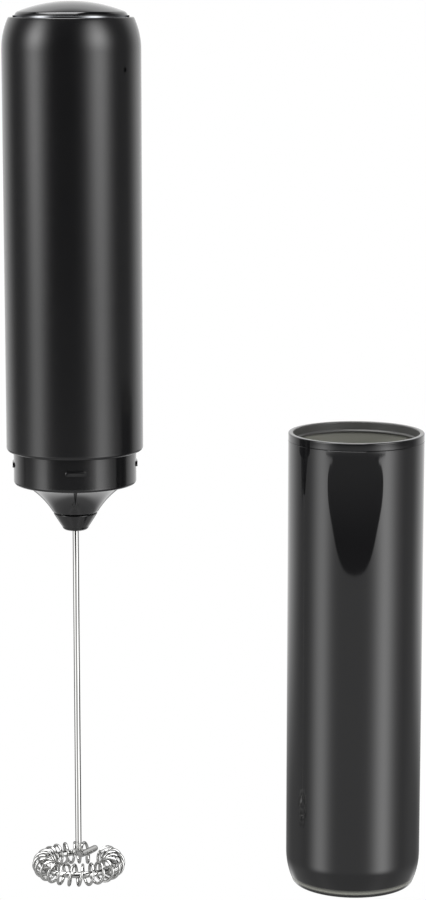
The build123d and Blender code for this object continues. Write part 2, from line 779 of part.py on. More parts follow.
# ---- whisk hub: small cone that pushes onto the drive bush and grips the whisk wire ----
hub_r = 5.75
hub_low_r = 3.4
hub_neck_r = 2.85
hub_neck_top = collar_bottom - 2.6
socket_bottom = bush_bottom - 0.3
wire_top = socket_bottom - 0.6
wire_r = whisk_wire_diameter / 2

with BuildPart() as whisk_hub:
    with BuildSketch(Plane.XZ):
        with BuildLine():
            ThreePointArc((hub_r, hub_top), (4.45, hub_top - 2.1), (hub_low_r, hub_bottom + 0.8))
            ThreePointArc((hub_low_r, hub_bottom + 0.8), (3.08, hub_bottom + 0.24), (2.5, hub_bottom))
            Polyline(
                (2.5, hub_bottom),
                (0, hub_bottom),
                (0, hub_neck_top),
                (hub_neck_r, hub_neck_top),
                (hub_neck_r, hub_top),
                (hub_r, hub_top),
            )
        make_face()
    revolve(axis=Axis.Z)
    with BuildSketch(Plane.XY.offset(socket_bottom)):
        RegularPolygon(radius=bush_across_flats / 2 + 0.12, side_count=6, major_radius=False)
    extrude(amount=hub_neck_top - socket_bottom, mode=Mode.SUBTRACT)
    with BuildSketch(Plane.XY.offset(hub_bottom)):
        Circle(wire_r)
    extrude(amount=wire_top - hub_bottom, mode=Mode.SUBTRACT)
whisk_hub.part.label = "whisk_hub"
export_step(whisk_hub.part, "parts/whisk_hub.step")

# ---- whisk wire: stem, bend, radial arm and ring, all one wire ----
arm_angle = 60
arm_rise = 2.2
arm_drop_from = 1.7
arm_drop_run = 4.6
arm_end_run = 1.7
stem_bend = 2.0
arm_bend = 1.6
ring_start = arm_angle + arm_drop_run / ring_radius * 180 / pi
ring_sweep = 322


def on_ring(angle):
    """A point on the whisk ring's centre line."""
    return (ring_radius * cos(radians(angle)), ring_radius * sin(radians(angle)), ring_z)


def before_ring(run, rise):
    """A point on the line that leads into the ring, a run before its start and a rise above it."""
    start_x, start_y, start_z = on_ring(ring_start)
    angle = radians(ring_start)
    return (start_x + run * sin(angle), start_y - run * cos(angle), start_z + rise)


with BuildPart() as whisk_wire:
    with BuildLine() as whisk_path:
        FilletPolyline(
            (0, 0, wire_top),
            (0, 0, ring_z + arm_rise),
            before_ring(arm_drop_run, arm_drop_from),
            before_ring(arm_end_run, 0),
            on_ring(ring_start),
            radius=[stem_bend, arm_bend, arm_bend],
        )
        ThreePointArc(
            on_ring(ring_start),
            on_ring(ring_start + ring_sweep / 2),
            on_ring(ring_start + ring_sweep),
        )
    with BuildSketch(Plane.XY.offset(wire_top)):
        Circle(wire_r)
    sweep(path=whisk_path.wires()[0])
whisk_wire.part.label = "whisk_wire"
export_step(whisk_wire.part, "parts/whisk_wire.step")

# ---- whisk coil: one fine spring wound round the ring, open where the arm comes in ----
coil_step = 360 / coil_turns
coil_gap_turns = 1.8
coil_start = arm_angle + coil_step * coil_gap_turns / 2
coil_arcs_per_turn = 6


def on_coil(turn):
    """A point on the coil's centre line, a number of turns after its start."""
    around = radians(coil_start + coil_step * turn)
    reach = ring_radius - coil_radius * cos(2 * pi * turn)
    return Vector(reach * cos(around), reach * sin(around), ring_z - coil_radius * sin(2 * pi * turn))


coil_heading = (on_coil(0.01) - on_coil(-0.01)).normalized()

with BuildPart() as whisk_coil:
    with BuildLine() as coil_path:
        heading = coil_heading
        for step in range(int((coil_turns - coil_gap_turns) * coil_arcs_per_turn)):
            near_end = on_coil(step / coil_arcs_per_turn)
            far_end = on_coil((step + 1) / coil_arcs_per_turn)
            coil_arc = TangentArc(near_end, far_end, tangent=heading)
            heading = coil_arc % 1
    with BuildSketch(Plane(origin=on_coil(0), z_dir=coil_heading)):
        Circle(coil_wire_diameter / 2)
    sweep(path=coil_path.wires()[0])
whisk_coil.part.label = "whisk_coil"
export_step(whisk_coil.part, "parts/whisk_coil.step")

# ---- cover: cup with a curved foot, a flat base, a snap bead inside its mouth and a line round it ----
cover_in_r = handle_r - cover_wall
base_thickness = 1.6
inner_foot_inset = 2.4
snap_bead_top = cover_mouth - 2.05
snap_bead_height = 0.9
snap_bead_proud = 0.35
line_groove_z = cover_mouth - 2.0
line_groove_depth = 0.12
cover_plane = Plane(origin=(cover_spacing, 0, 0), x_dir=(1, 0, 0), z_dir=(0, -1, 0))
cover_axis = Axis((cover_spacing, 0, 0), (0, 0, 1))

with BuildPart() as cover_cup:
    with BuildSketch(cover_plane):
        with BuildLine():
            Line((handle_r, line_groove_z - line_groove_depth), (handle_r, cover_base + shoulder_height))
            TangentArc(
                (handle_r, cover_base + shoulder_height),
                (handle_r - shoulder_inset, cover_base),
                tangent=(0, -1),
            )
            Polyline(
                (handle_r - shoulder_inset, cover_base),
                (0, cover_base),
                (0, cover_base + base_thickness),
                (cover_in_r - inner_foot_inset, cover_base + base_thickness),
                (cover_in_r, cover_base + shoulder_height),
                (cover_in_r, snap_bead_top - snap_bead_height),
                (cover_in_r - snap_bead_proud, snap_bead_top - snap_bead_height + snap_bead_proud),
                (cover_in_r - snap_bead_proud, snap_bead_top - snap_bead_proud),
                (cover_in_r, snap_bead_top),
                (cover_in_r, cover_mouth),
                (handle_r, cover_mouth),
                (handle_r, line_groove_z + line_groove_depth),
                (handle_r - line_groove_depth, line_groove_z),
                (handle_r, line_groove_z - line_groove_depth),
            )
        make_face()
    revolve(axis=cover_axis)
    fillet(cover_cup.edges().filter_by(GeomType.CIRCLE).group_by(Axis.Z)[-1], radius=0.3)
    fillet(cover_cup.edges().filter_by(GeomType.CIRCLE).group_by(Axis.Z)[0], radius=0.4)
cover_cup.part.label = "cover_cup"
export_step(cover_cup.part, "parts/cover_cup.step")
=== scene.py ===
import json
import math

import bmesh
import bpy
from mathutils import Matrix, Vector


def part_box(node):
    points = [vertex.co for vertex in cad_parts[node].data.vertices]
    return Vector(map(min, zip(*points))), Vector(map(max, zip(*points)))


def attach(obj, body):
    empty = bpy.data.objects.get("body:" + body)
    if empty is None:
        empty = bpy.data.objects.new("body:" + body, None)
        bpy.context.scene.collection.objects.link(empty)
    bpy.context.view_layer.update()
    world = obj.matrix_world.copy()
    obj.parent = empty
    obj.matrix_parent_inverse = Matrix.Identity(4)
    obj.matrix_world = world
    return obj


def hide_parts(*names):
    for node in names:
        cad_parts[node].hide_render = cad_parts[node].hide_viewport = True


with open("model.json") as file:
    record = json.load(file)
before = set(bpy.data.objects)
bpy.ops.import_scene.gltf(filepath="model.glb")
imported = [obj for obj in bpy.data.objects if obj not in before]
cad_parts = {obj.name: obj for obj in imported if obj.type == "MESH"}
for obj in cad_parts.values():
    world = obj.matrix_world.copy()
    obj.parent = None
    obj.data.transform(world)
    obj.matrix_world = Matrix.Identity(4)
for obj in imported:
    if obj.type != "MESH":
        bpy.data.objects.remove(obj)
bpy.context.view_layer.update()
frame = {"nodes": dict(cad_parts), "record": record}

MM = 0.001


# ---------------------------------------------------------------- measures taken from the frame

def box_mm(node):
    """The lowest and highest corner of a CAD node, in millimetres."""
    low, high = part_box(node)
    return Vector(low) / MM, Vector(high) / MM


shell_low, shell_high = box_mm("handle_shell")
bezel_low, bezel_high = box_mm("bezel_ring")
button_low, button_high = box_mm("power_button")
collar_low, collar_high = box_mm("collar")
cone_low, cone_high = box_mm("nose_cone")
hub_low, hub_high = box_mm("whisk_hub")
wire_high = box_mm("whisk_wire")[1]
coil_low, coil_high = box_mm("whisk_coil")
cover_low, cover_high = box_mm("cover_cup")
pipe_low, pipe_high = box_mm("light_pipe")
socket_low, socket_high = box_mm("charge_socket")

HANDLE_R = shell_high.x
SHELL_TOP = shell_high.z
SHELL_BOTTOM = shell_low.z
COLLAR_BOTTOM = collar_low.z
COVER_X = (cover_low.x + cover_high.x) / 2
PORT_Z = (socket_low.z + socket_high.z) / 2

# the collar's own wall, without its ribs
COLLAR_R = 15.75

# the curved shoulder of the handle, and the same curve at the foot of the cover
SHOULDER_HEIGHT = 8.0
SHOULDER_INSET = 1.8
SHOULDER_R = (SHOULDER_HEIGHT**2 + SHOULDER_INSET**2) / (2 * SHOULDER_INSET)


# ---------------------------------------------------------------- outlines and turned shapes

def rounded(corners, closed=True, step=math.radians(12)):
    """An outline of (radius, height) points from corners given as (radius, height, fillet)."""
    points = []
    count = len(corners)
    for k, (x, y, fillet) in enumerate(corners):
        here = Vector((x, y))
        at_end = not closed and k in (0, count - 1)
        if fillet == 0 or at_end:
            points.append((x, y))
            continue
        back = (Vector(corners[k - 1][:2]) - here).normalized()
        ahead = (Vector(corners[(k + 1) % count][:2]) - here).normalized()
        half = back.angle(ahead) / 2
        centre = here + (back + ahead).normalized() * fillet / math.sin(half)
        first = here + back * fillet / math.tan(half) - centre
        turn = math.pi - 2 * half
        side = 1 if first.x * (ahead.y - back.y) - first.y * (ahead.x - back.x) > 0 else -1
        pieces = max(3, math.ceil(turn / step))
        for piece in range(pieces + 1):
            angle = side * turn * piece / pieces
            spun = Vector((
                first.x * math.cos(angle) - first.y * math.sin(angle),
                first.x * math.sin(angle) + first.y * math.cos(angle),
            ))
            points.append(tuple(centre + spun))
    return points


def shoulder_arc(radius, tangent_z, direction, offset=0.0, depth=SHOULDER_HEIGHT, pieces=10):
    """Points of the shoulder curve from its tangent point, going up (1) or down (-1)."""
    arc_r = SHOULDER_R - offset
    centre = radius - arc_r
    end = math.asin(min(1.0, depth / arc_r))
    angles = [end * k / pieces for k in range(pieces + 1)]
    return [(centre + arc_r * math.cos(a), tangent_z + direction * arc_r * math.sin(a)) for a in angles]


def with_edge_loops(points, closed, guard=0.18, long_run=1.2):
    """Adds a point just inside each end of every long run, so that flat stretches shade flat."""
    dense = []
    count = len(points)
    for k in range(count if closed else count - 1):
        start, end = Vector(points[k]), Vector(points[(k + 1) % count])
        dense.append(tuple(start))
        if (end - start).length > long_run:
            along = (end - start).normalized() * guard
            dense += [tuple(start + along), tuple(end - along)]
    if not closed:
        dense.append(points[-1])
    return dense


def link(data, name):
    """A new object of that mesh, curve or camera in the scene, at the origin."""
    piece = bpy.data.objects.new(name, data)
    bpy.context.scene.collection.objects.link(piece)
    return piece


def smooth(mesh, sharp_over=34):
    """Smooth shading that stays crisp over a given angle, in degrees."""
    mesh.shade_smooth()
    mesh.set_sharp_from_angle(angle=math.radians(sharp_over))


def turned(name, outline, closed=True, axis_x=0.0, sides=192):
    """A piece turned about an upright axis from an outline in millimetres."""
    points = with_edge_loops(outline, closed)
    build = bmesh.new()
    rings = []
    for radius, height in points:
        if radius < 1e-6:
            rings.append([build.verts.new((axis_x * MM, 0, height * MM))] * sides)
            continue
        ring = []
        for k in range(sides):
            angle = 2 * math.pi * k / sides
            place = (axis_x + radius * math.cos(angle), radius * math.sin(angle), height)
            ring.append(build.verts.new(Vector(place) * MM))
        rings.append(ring)
    pairs = list(zip(rings, rings[1:]))
    if closed:
        pairs.append((rings[-1], rings[0]))
    for lower, upper in pairs:
        for k in range(sides):
            corners = [lower[k], lower[(k + 1) % sides], upper[(k + 1) % sides], upper[k]]
            unique = list(dict.fromkeys(corners))
            if len(unique) > 2:
                build.faces.new(unique)
    bmesh.ops.recalc_face_normals(build, faces=build.faces)
    mesh = bpy.data.meshes.new(name)
    build.to_mesh(mesh)
    build.free()
    smooth(mesh)
    return link(mesh, name)


def stadium(width, height, pieces=12):
    """The outline of a slot with round ends, in millimetres, counter-clockwise."""
    radius = height / 2
    reach = width / 2 - radius
    points = []
    for side, start in ((1, -math.pi / 2), (-1, math.pi / 2)):
        for k in range(pieces + 1):
            angle = start + math.pi * k / pieces
            points.append((side * reach + radius * math.cos(angle), radius * math.sin(angle)))
    return points


def stacked(name, levels, place):
    """A closed solid through outlines of equal length; place turns (x, y, depth) into a point."""
    build = bmesh.new()
    rings = [[build.verts.new(place(x, y, depth) * MM) for x, y in outline] for outline, depth in levels]
    for lower, upper in zip(rings, rings[1:]):
        for k in range(len(lower)):
            near = (k + 1) % len(lower)
            build.faces.new((lower[k], lower[near], upper[near], upper[k]))
    build.faces.new(rings[0][::-1])
    build.faces.new(rings[-1])
    bmesh.ops.recalc_face_normals(build, faces=build.faces)
    mesh = bpy.data.meshes.new(name)
    build.to_mesh(mesh)
    build.free()
    return link(mesh, name)


def settle(piece):
    """Turns a piece's modifiers into its plain mesh."""
    bpy.context.view_layer.update()
    ready = piece.evaluated_get(bpy.context.evaluated_depsgraph_get())
    mesh = bpy.data.meshes.new_from_object(ready)
    piece.modifiers.clear()
    piece.data = mesh
    return piece


def combine(piece, tool, operation):
    """Cuts a tool out of a piece, or joins it on, and removes the tool."""
    change = piece.modifiers.new(operation.lower(), "BOOLEAN")
    change.object = tool
    change.operation = operation
    change.solver = "EXACT"
    settle(piece)
    bpy.data.objects.remove(tool)
    smooth(piece.data)
    return piece


# ---------------------------------------------------------------- materials

# sockets of a Mix node: its share, the two numbers or colours that it mixes, and the mixed colour
SHARE = 0
FIRST_NUMBER, SECOND_NUMBER = 2, 3
FIRST_COLOUR, SECOND_COLOUR = 6, 7
MIXED_COLOUR = 2

ABS_IOR = 1.53
HANDLING_MM = 14


def hex_colour(code, alpha=1.0):
    """An sRGB hex value as a linear colour."""
    values = [int(code[k:k + 2], 16) / 255 for k in (1, 3, 5)]
    linear = [v / 12.92 if v <= 0.04045 else ((v + 0.055) / 1.055) ** 2.4 for v in values]
    return (*linear, alpha)


def add(tree, kind, inputs=(), **settings):
    """Adds one node, or a sum named by its operation; each input is a value, a socket or a node to link."""
    made = tree.nodes.new("ShaderNodeMath" if kind.isupper() else kind)
    if kind.isupper():
        made.operation = kind
    for key, value in settings.items():
        setattr(made, key, value)
    for key, value in inputs.items() if isinstance(inputs, dict) else enumerate(inputs):
        if isinstance(value, bpy.types.Node):
            value = value.outputs[0]
        if isinstance(value, bpy.types.NodeSocket):
            tree.links.new(value, made.inputs[key])
        else:
            made.inputs[key].default_value = value
    return made


def new_material(name):
    """An empty node material and its tree."""
    material = bpy.data.materials.new(name)
    material.use_nodes = True
    material.node_tree.nodes.clear()
    return material, material.node_tree


def per_metre(feature_mm):
    """The noise scale that gives features of about that size."""
    return 1 / (feature_mm * MM)


def moulded_abs(name, colour, worn_colour, roughness, spread, texture_mm, texture_depth_mm):
    """Black ABS from a steel mould: the eye sees how far the tool's finish blurs a reflection."""
    sheen_spot_mm = 2.5
    material, tree = new_material(name)
    place = add(tree, "ShaderNodeTexCoord").outputs["Object"]
    handling = add(tree, "ShaderNodeTexNoise", {
        "Vector": place, "Scale": per_metre(HANDLING_MM), "Detail": 4.0})
    tint = add(tree, "ShaderNodeMix", {
        SHARE: handling.outputs["Fac"], FIRST_COLOUR: hex_colour(colour),
        SECOND_COLOUR: hex_colour(worn_colour)}, data_type="RGBA")
    sheen = add(tree, "ShaderNodeTexNoise", {
        "Vector": place, "Scale": per_metre(sheen_spot_mm), "Detail": 3.0})
    rough = add(tree, "ShaderNodeMapRange", {
        "Value": sheen.outputs["Fac"], "From Min": 0.3, "From Max": 0.7,
        "To Min": roughness - spread, "To Max": roughness + spread})
    grain = add(tree, "ShaderNodeTexNoise", {"Vector": place, "Scale": per_metre(texture_mm), "Detail": 2.0})
    relief = add(tree, "ShaderNodeBump", {
        "Height": grain.outputs["Fac"], "Distance": texture_depth_mm * MM, "Strength": 1.0})
    skin = add(tree, "ShaderNodeBsdfPrincipled", {
        "Base Color": tint.outputs[MIXED_COLOUR], "Roughness": rough, "Normal": relief, "IOR": ABS_IOR})
    add(tree, "ShaderNodeOutputMaterial", {"Surface": skin})
    return material


def cover_plastic(name):
    """Black ABS: mirror-bright outside from a polished tool, matt inside from the drawn core; the inside's
    grey is painted light falling into the cup, lighter below the bead.
    """
    polished_rough = 0.02
    side_from, side_to = 1.25, 0.9
    under_from, under_to = 1.2, 0.8
    # depths below the mouth where the inside's painted light turns from darker grey to lighter grey
    painted_light_from_depth, painted_light_full_depth = 2.6, 3.4
    drag_mm, drag_stretch = 0.6, 0.05
    material, tree = new_material(name)
    place = add(tree, "ShaderNodeTexCoord").outputs["Object"]
    off_axis = add(tree, "ShaderNodeVectorMath", {0: place, 1: (-COVER_X * MM, 0, 0)}, operation="ADD")
    flat = add(tree, "ShaderNodeVectorMath", {0: off_axis, 1: (1, 1, 0)}, operation="MULTIPLY")
    reach = add(tree, "ShaderNodeVectorMath", {0: flat}, operation="LENGTH").outputs["Value"]
    height = add(tree, "ShaderNodeSeparateXYZ", {"Vector": place}).outputs["Z"]
    side = add(tree, "ShaderNodeMapRange", {
        "Value": reach, "From Min": (HANDLE_R - side_from) * MM, "From Max": (HANDLE_R - side_to) * MM})
    under = add(tree, "ShaderNodeMapRange", {
        "Value": height, "From Min": (cover_low.z + under_from) * MM,
        "From Max": (cover_low.z + under_to) * MM})
    outside = add(tree, "MAXIMUM", (side, under))
    handling = add(tree, "ShaderNodeTexNoise", {
        "Vector": place, "Scale": per_metre(HANDLING_MM), "Detail": 4.0})
    skin_tint = add(tree, "ShaderNodeMix", {
        SHARE: handling.outputs["Fac"], FIRST_COLOUR: hex_colour("#131314"),
        SECOND_COLOUR: hex_colour("#161617")}, data_type="RGBA")
    # painted light: the inside is painted lighter below the bead, where more light falls into the cup
    painted_light_below_bead = add(tree, "ShaderNodeMapRange", {
        "Value": height, "From Min": (cover_high.z - painted_light_from_depth) * MM,
        "From Max": (cover_high.z - painted_light_full_depth) * MM})
    # painted light: the inside's grey stands in for light falling into the cup, not for the plastic's own
    # colour
    inside_painted_light_tint = add(tree, "ShaderNodeMix", {
        SHARE: painted_light_below_bead, FIRST_COLOUR: hex_colour("#484847"),
        SECOND_COLOUR: hex_colour("#8a8a82")}, data_type="RGBA")
    tint = add(tree, "ShaderNodeMix", {
        SHARE: outside, FIRST_COLOUR: inside_painted_light_tint.outputs[MIXED_COLOUR],
        SECOND_COLOUR: skin_tint.outputs[MIXED_COLOUR]}, data_type="RGBA")
    drag = add(tree, "ShaderNodeMapping", {"Vector": place, "Scale": (1.0, 1.0, drag_stretch)})
    marks = add(tree, "ShaderNodeTexNoise", {"Vector": drag, "Scale": per_metre(drag_mm), "Detail": 3.0})
    core_rough = add(tree, "ShaderNodeMapRange", {
        "Value": marks.outputs["Fac"], "To Min": 0.42, "To Max": 0.5})
    rough = add(tree, "ShaderNodeMix", {
        SHARE: outside, FIRST_NUMBER: core_rough, SECOND_NUMBER: polished_rough})
    skin = add(tree, "ShaderNodeBsdfPrincipled", {
        "Base Color": tint.outputs[MIXED_COLOUR], "Roughness": rough, "IOR": ABS_IOR})
    add(tree, "ShaderNodeOutputMaterial", {"Surface": skin})
    return material


def drawn_steel(name, colour, dull_colour, roughness):
    """Polished steel or plating: the eye sees sharp light and dark bands, with a faint grain along it."""
    die_mark_mm, mark_stretch, mark_depth_mm = 0.25, 0.04, 0.0003
    material, tree = new_material(name)
    place = add(tree, "ShaderNodeTexCoord").outputs["Object"]
    stretch = add(tree, "ShaderNodeMapping", {"Vector": place, "Scale": (1.0, 1.0, mark_stretch)})
    marks = add(tree, "ShaderNodeTexNoise", {
        "Vector": stretch, "Scale": per_metre(die_mark_mm), "Detail": 3.0})
    tint = add(tree, "ShaderNodeMix", {
        SHARE: marks.outputs["Fac"], FIRST_COLOUR: hex_colour(colour),
        SECOND_COLOUR: hex_colour(dull_colour)}, data_type="RGBA")
    rough = add(tree, "ShaderNodeMapRange", {
        "Value": marks.outputs["Fac"], "From Min": 0.3, "From Max": 0.7,
        "To Min": roughness * 0.7, "To Max": roughness * 1.4})
    relief = add(tree, "ShaderNodeBump", {
        "Height": marks.outputs["Fac"], "Distance": mark_depth_mm * MM, "Strength": 0.5})
    metal = add(tree, "ShaderNodeBsdfPrincipled", {
        "Base Color": tint.outputs[MIXED_COLOUR], "Metallic": 1.0, "Roughness": rough,
        "Specular Tint": hex_colour("#505050"), "Normal": relief})
    add(tree, "ShaderNodeOutputMaterial", {"Surface": metal})
    return material


def smoked_lens(name):
    """Smoked polycarbonate of the light window: the eye sees a dark dot until the light behind it is on."""
    haze_mm, polycarbonate_ior = 0.5, 1.58
    material, tree = new_material(name)
    place = add(tree, "ShaderNodeTexCoord").outputs["Object"]
    haze = add(tree, "ShaderNodeTexNoise", {"Vector": place, "Scale": per_metre(haze_mm), "Detail": 2.0})
    rough = add(tree, "ShaderNodeMapRange", {"Value": haze.outputs["Fac"], "To Min": 0.1, "To Max": 0.3})
    lens = add(tree, "ShaderNodeBsdfPrincipled", {
        "Base Color": hex_colour("#08080a"), "Roughness": rough, "Transmission Weight": 0.3,
        "IOR": polycarbonate_ior})
    add(tree, "ShaderNodeOutputMaterial", {"Surface": lens})
    return material


def workshop_finish(name, colour, second_colour, metallic, roughness, grain_mm):
    """A plain finish for the pieces inside: the eye sees two close tones, mottled at the grain's size."""
    grain_depth_mm = 0.01
    material, tree = new_material(name)
    place = add(tree, "ShaderNodeTexCoord").outputs["Object"]
    grain = add(tree, "ShaderNodeTexNoise", {"Vector": place, "Scale": per_metre(grain_mm), "Detail": 4.0})
    tint = add(tree, "ShaderNodeMix", {
        SHARE: grain.outputs["Fac"], FIRST_COLOUR: hex_colour(colour),
        SECOND_COLOUR: hex_colour(second_colour)}, data_type="RGBA")
    rough = add(tree, "ShaderNodeMapRange", {
        "Value": grain.outputs["Fac"], "To Min": roughness * 0.8, "To Max": min(1.0, roughness * 1.2)})
    relief = add(tree, "ShaderNodeBump", {
        "Height": grain.outputs["Fac"], "Distance": grain_depth_mm * MM, "Strength": 0.5})
    skin = add(tree, "ShaderNodeBsdfPrincipled", {
        "Base Color": tint.outputs[MIXED_COLOUR], "Metallic": metallic, "Roughness": rough, "Normal": relief})
    add(tree, "ShaderNodeOutputMaterial", {"Surface": skin})
    return material


# the handle's spark-eroded tool gives soft upright stripes; the others were polished and give sharper ones
satin_abs = moulded_abs("satin_black_abs", "#0f0f10", "#131314", 0.21, 0.01, 0.30, 0.0006)
button_abs = moulded_abs("button_black_abs", "#101011", "#131314", 0.10, 0.01, 0.30, 0.0003)
gloss_abs = moulded_abs("gloss_black_abs", "#131314", "#161617", 0.04, 0.008, 6.0, 0.0002)
cover_abs = cover_plastic("cover_black_abs")
collar_abs = moulded_abs("collar_black_abs", "#101011", "#141415", 0.13, 0.01, 0.5, 0.0003)
bezel_chrome = drawn_steel("bezel_smoked_chrome", "#8f9093", "#7f8083", 0.06)
whisk_steel = drawn_steel("polished_whisk_steel", "#c8c8c6", "#bebebd", 0.06)
window_lens = smoked_lens("smoked_window_lens")

# slot: colour, second colour, metallic, roughness, grain in millimetres
INSIDE_FINISHES = {
    "black_rubber": ("#161616", "#1e1e1e", 0.0, 0.75, 0.4),
    "screw_steel": ("#a9abae", "#8f9194", 1.0, 0.35, 0.3),
    "board_green": ("#0c4a2a", "#105a34", 0.0, 0.35, 1.2),
    "chip_black": ("#1d1d1f", "#262628", 0.0, 0.6, 0.3),
    "led_white": ("#e9e6da", "#f2f0e8", 0.0, 0.4, 0.6),
    "socket_steel": ("#b5b6b8", "#9c9da0", 1.0, 0.28, 0.4),
    "switch_black": ("#1a1a1a", "#222222", 0.0, 0.5, 0.5),
    "chassis_grey": ("#3a3b3d", "#434446", 0.0, 0.55, 0.6),
    "cell_sleeve": ("#1f4f96", "#2358a6", 0.0, 0.3, 2.0),
    "nickel": ("#b9b4aa", "#a39e95", 1.0, 0.3, 0.5),
    "red_lead": ("#a01818", "#b02020", 0.0, 0.45, 0.8),
    "black_lead": ("#161616", "#1f1f1f", 0.0, 0.45, 0.8),
    "motor_steel": ("#b0b1b3", "#98999b", 1.0, 0.32, 0.6),
    "cap_plastic": ("#dcd8cc", "#cfcabd", 0.0, 0.5, 0.8),
    "bronze": ("#a97b4a", "#8f663b", 1.0, 0.45, 0.25),
    "ferrite": ("#2b2b2d", "#343436", 0.0, 0.7, 0.3),
    "brush_brass": ("#c29a55", "#ad8747", 1.0, 0.35, 0.4),
    "shaft_steel": ("#bcbdbf", "#a7a8aa", 1.0, 0.2, 0.3),
    "bush_brass": ("#c8a35c", "#b8924c", 1.0, 0.28, 0.3),
    "laminations": ("#77787b", "#66676a", 1.0, 0.45, 0.35),
    "copper": ("#b5653a", "#9c5230", 1.0, 0.35, 0.5),
}


# ---------------------------------------------------------------- handle

def cut_charging_port(shell):
    """Cuts the port's recess and slot through the back of the shell."""
    recess_width, recess_height, recess_depth = 12.4, 6.6, 0.9
    slot_width, slot_height, slot_depth = 9.4, 3.7, 4
    past_skin, slot_past_skin = 1.5, 1
    recess = stacked(
        "port_recess",
        [(stadium(recess_width, recess_height), depth) for depth in (0, recess_depth + past_skin)],
        lambda x, y, depth: Vector((x, HANDLE_R - recess_depth + depth, PORT_Z + y)),
    )
    combine(shell, recess, "DIFFERENCE")
    slot = stacked(
        "port_slot",
        [(stadium(slot_width, slot_height), depth) for depth in (0, slot_depth + slot_past_skin)],
        lambda x, y, depth: Vector((x, HANDLE_R - slot_depth + depth, PORT_Z + y)),
    )
    combine(shell, slot, "DIFFERENCE")


def cut_light_window(shell):
    """Drills the round hole of the charging light."""
    hole_r, drill_from, drill_to, sides = 0.6, 13, 20, 24
    out = Vector(((pipe_low.x + pipe_high.x) / 2, (pipe_low.y + pipe_high.y) / 2, 0)).normalized()
    side = Vector((-out.y, out.x, 0))
    angles = [2 * math.pi * k / sides for k in range(sides)]
    ring = [(hole_r * math.cos(angle), hole_r * math.sin(angle)) for angle in angles]
    drill = stacked(
        "window_drill",
        [(ring, drill_from), (ring, drill_to)],
        lambda x, y, depth: out * depth + side * x + Vector((0, 0, PORT_Z + y)),
    )
    combine(shell, drill, "DIFFERENCE")


def make_handle_shell():
    """The handle's tube: rounded foot, curved shoulder, charging port at the back and light window."""
    wall = 1.6
    foot_round, shoulder_end_round = 0.9, 0.35
    ledge_depth, lip_depth = 1.4, 5.0
    bezel_r = bezel_high.x
    lip_r = bezel_r - 0.25
    inner_r = HANDLE_R - wall
    shoulder_z = SHELL_TOP - SHOULDER_HEIGHT
    outer_arc = [(x, y, 0) for x, y in shoulder_arc(HANDLE_R, shoulder_z, 1)]
    inner_depth = SHOULDER_HEIGHT - lip_depth
    inner_arc = [(x, y, 0) for x, y in shoulder_arc(inner_r, shoulder_z, 1, wall, inner_depth)]
    corners = [
        (inner_r, SHELL_BOTTOM, 0.2),
        (HANDLE_R, SHELL_BOTTOM, foot_round),
        *outer_arc[:-1],
        (outer_arc[-1][0], SHELL_TOP, shoulder_end_round),
        (bezel_r, SHELL_TOP, 0.06),
        (bezel_r, SHELL_TOP - ledge_depth, 0),
        (lip_r, SHELL_TOP - ledge_depth, 0),
        (lip_r, SHELL_TOP - lip_depth, 0),
        *inner_arc[::-1],
    ]
    shell = turned("handle_tube", rounded(corners))
    cut_charging_port(shell)
    cut_light_window(shell)
    shell.data.materials.append(satin_abs)
    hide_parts("handle_shell")
    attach(shell, "handle")


def make_bezel():
    """The plated ring round the button, with its edges just broken."""
    gap, edge_round = 0.1, 0.05
    inner_r = button_dome()[0] + gap
    corners = [
        (inner_r, bezel_low.z, 0),
        (bezel_high.x, bezel_low.z, 0),
        (bezel_high.x, bezel_high.z, edge_round),
        (inner_r, bezel_high.z, edge_round),
    ]
    bezel = turned("bezel_band", rounded(corners))
    bezel.data.materials.append(bezel_chrome)
    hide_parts("bezel_ring")
    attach(bezel, "handle")


def button_dome():
    """The button's radius, the radius of its dome and the height where the dome meets its side."""
    radius = 14.2
    dome_r = 36.2
    return radius, dome_r, button_high.z - dome_r + math.sqrt(dome_r**2 - radius**2)


def dome_points(radius, dome_r, centre_z, pieces):
    """Points of a dome about the button's axis, from its top out to a radius."""
    reach = math.asin(radius / dome_r)
    return [
        (dome_r * math.sin(reach * k / pieces), centre_z + dome_r * math.cos(reach * k / pieces), 0)
        for k in range(pieces + 1)
    ]


def make_button():
    """The push button: a shallow dome with a rounded edge, a skirt and a retaining flange."""
    radius, dome_r, edge_z = button_dome()
    wall, edge_round, flange_thickness = 1.4, 1.4, 1.2
    stem_r, stem_overlap = 2.2, 0.2
    flange_top = SHELL_TOP - 5.1
    flange_bottom = flange_top - flange_thickness
    centre_z = button_high.z - dome_r
    inner_r = radius - wall
    dome = dome_points(radius, dome_r, centre_z, 14)[:-1]
    hollow = dome_points(inner_r, dome_r - wall, centre_z, 6)[:1:-1]
    stem_top = hollow[-1][1] + stem_overlap
    corners = [
        *dome,
        (radius, edge_z, edge_round),
        (radius, flange_top, 0),
        (button_high.x, flange_top, 0.1),
        (button_high.x, flange_bottom, 0.1),
        (inner_r, flange_bottom, 0),
        *hollow,
        (stem_r, stem_top, 0),
        (stem_r, button_low.z, 0.2),
        (0, button_low.z, 0),
    ]
    button = turned("button_cap", rounded(corners, closed=False), closed=False)
    button.data.materials.append(button_abs)
    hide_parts("power_button")
    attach(button, "button")


# ---------------------------------------------------------------- collar and nose

SNAP_RIBS = 4
FIRST_RIB_DEGREES = -86.4


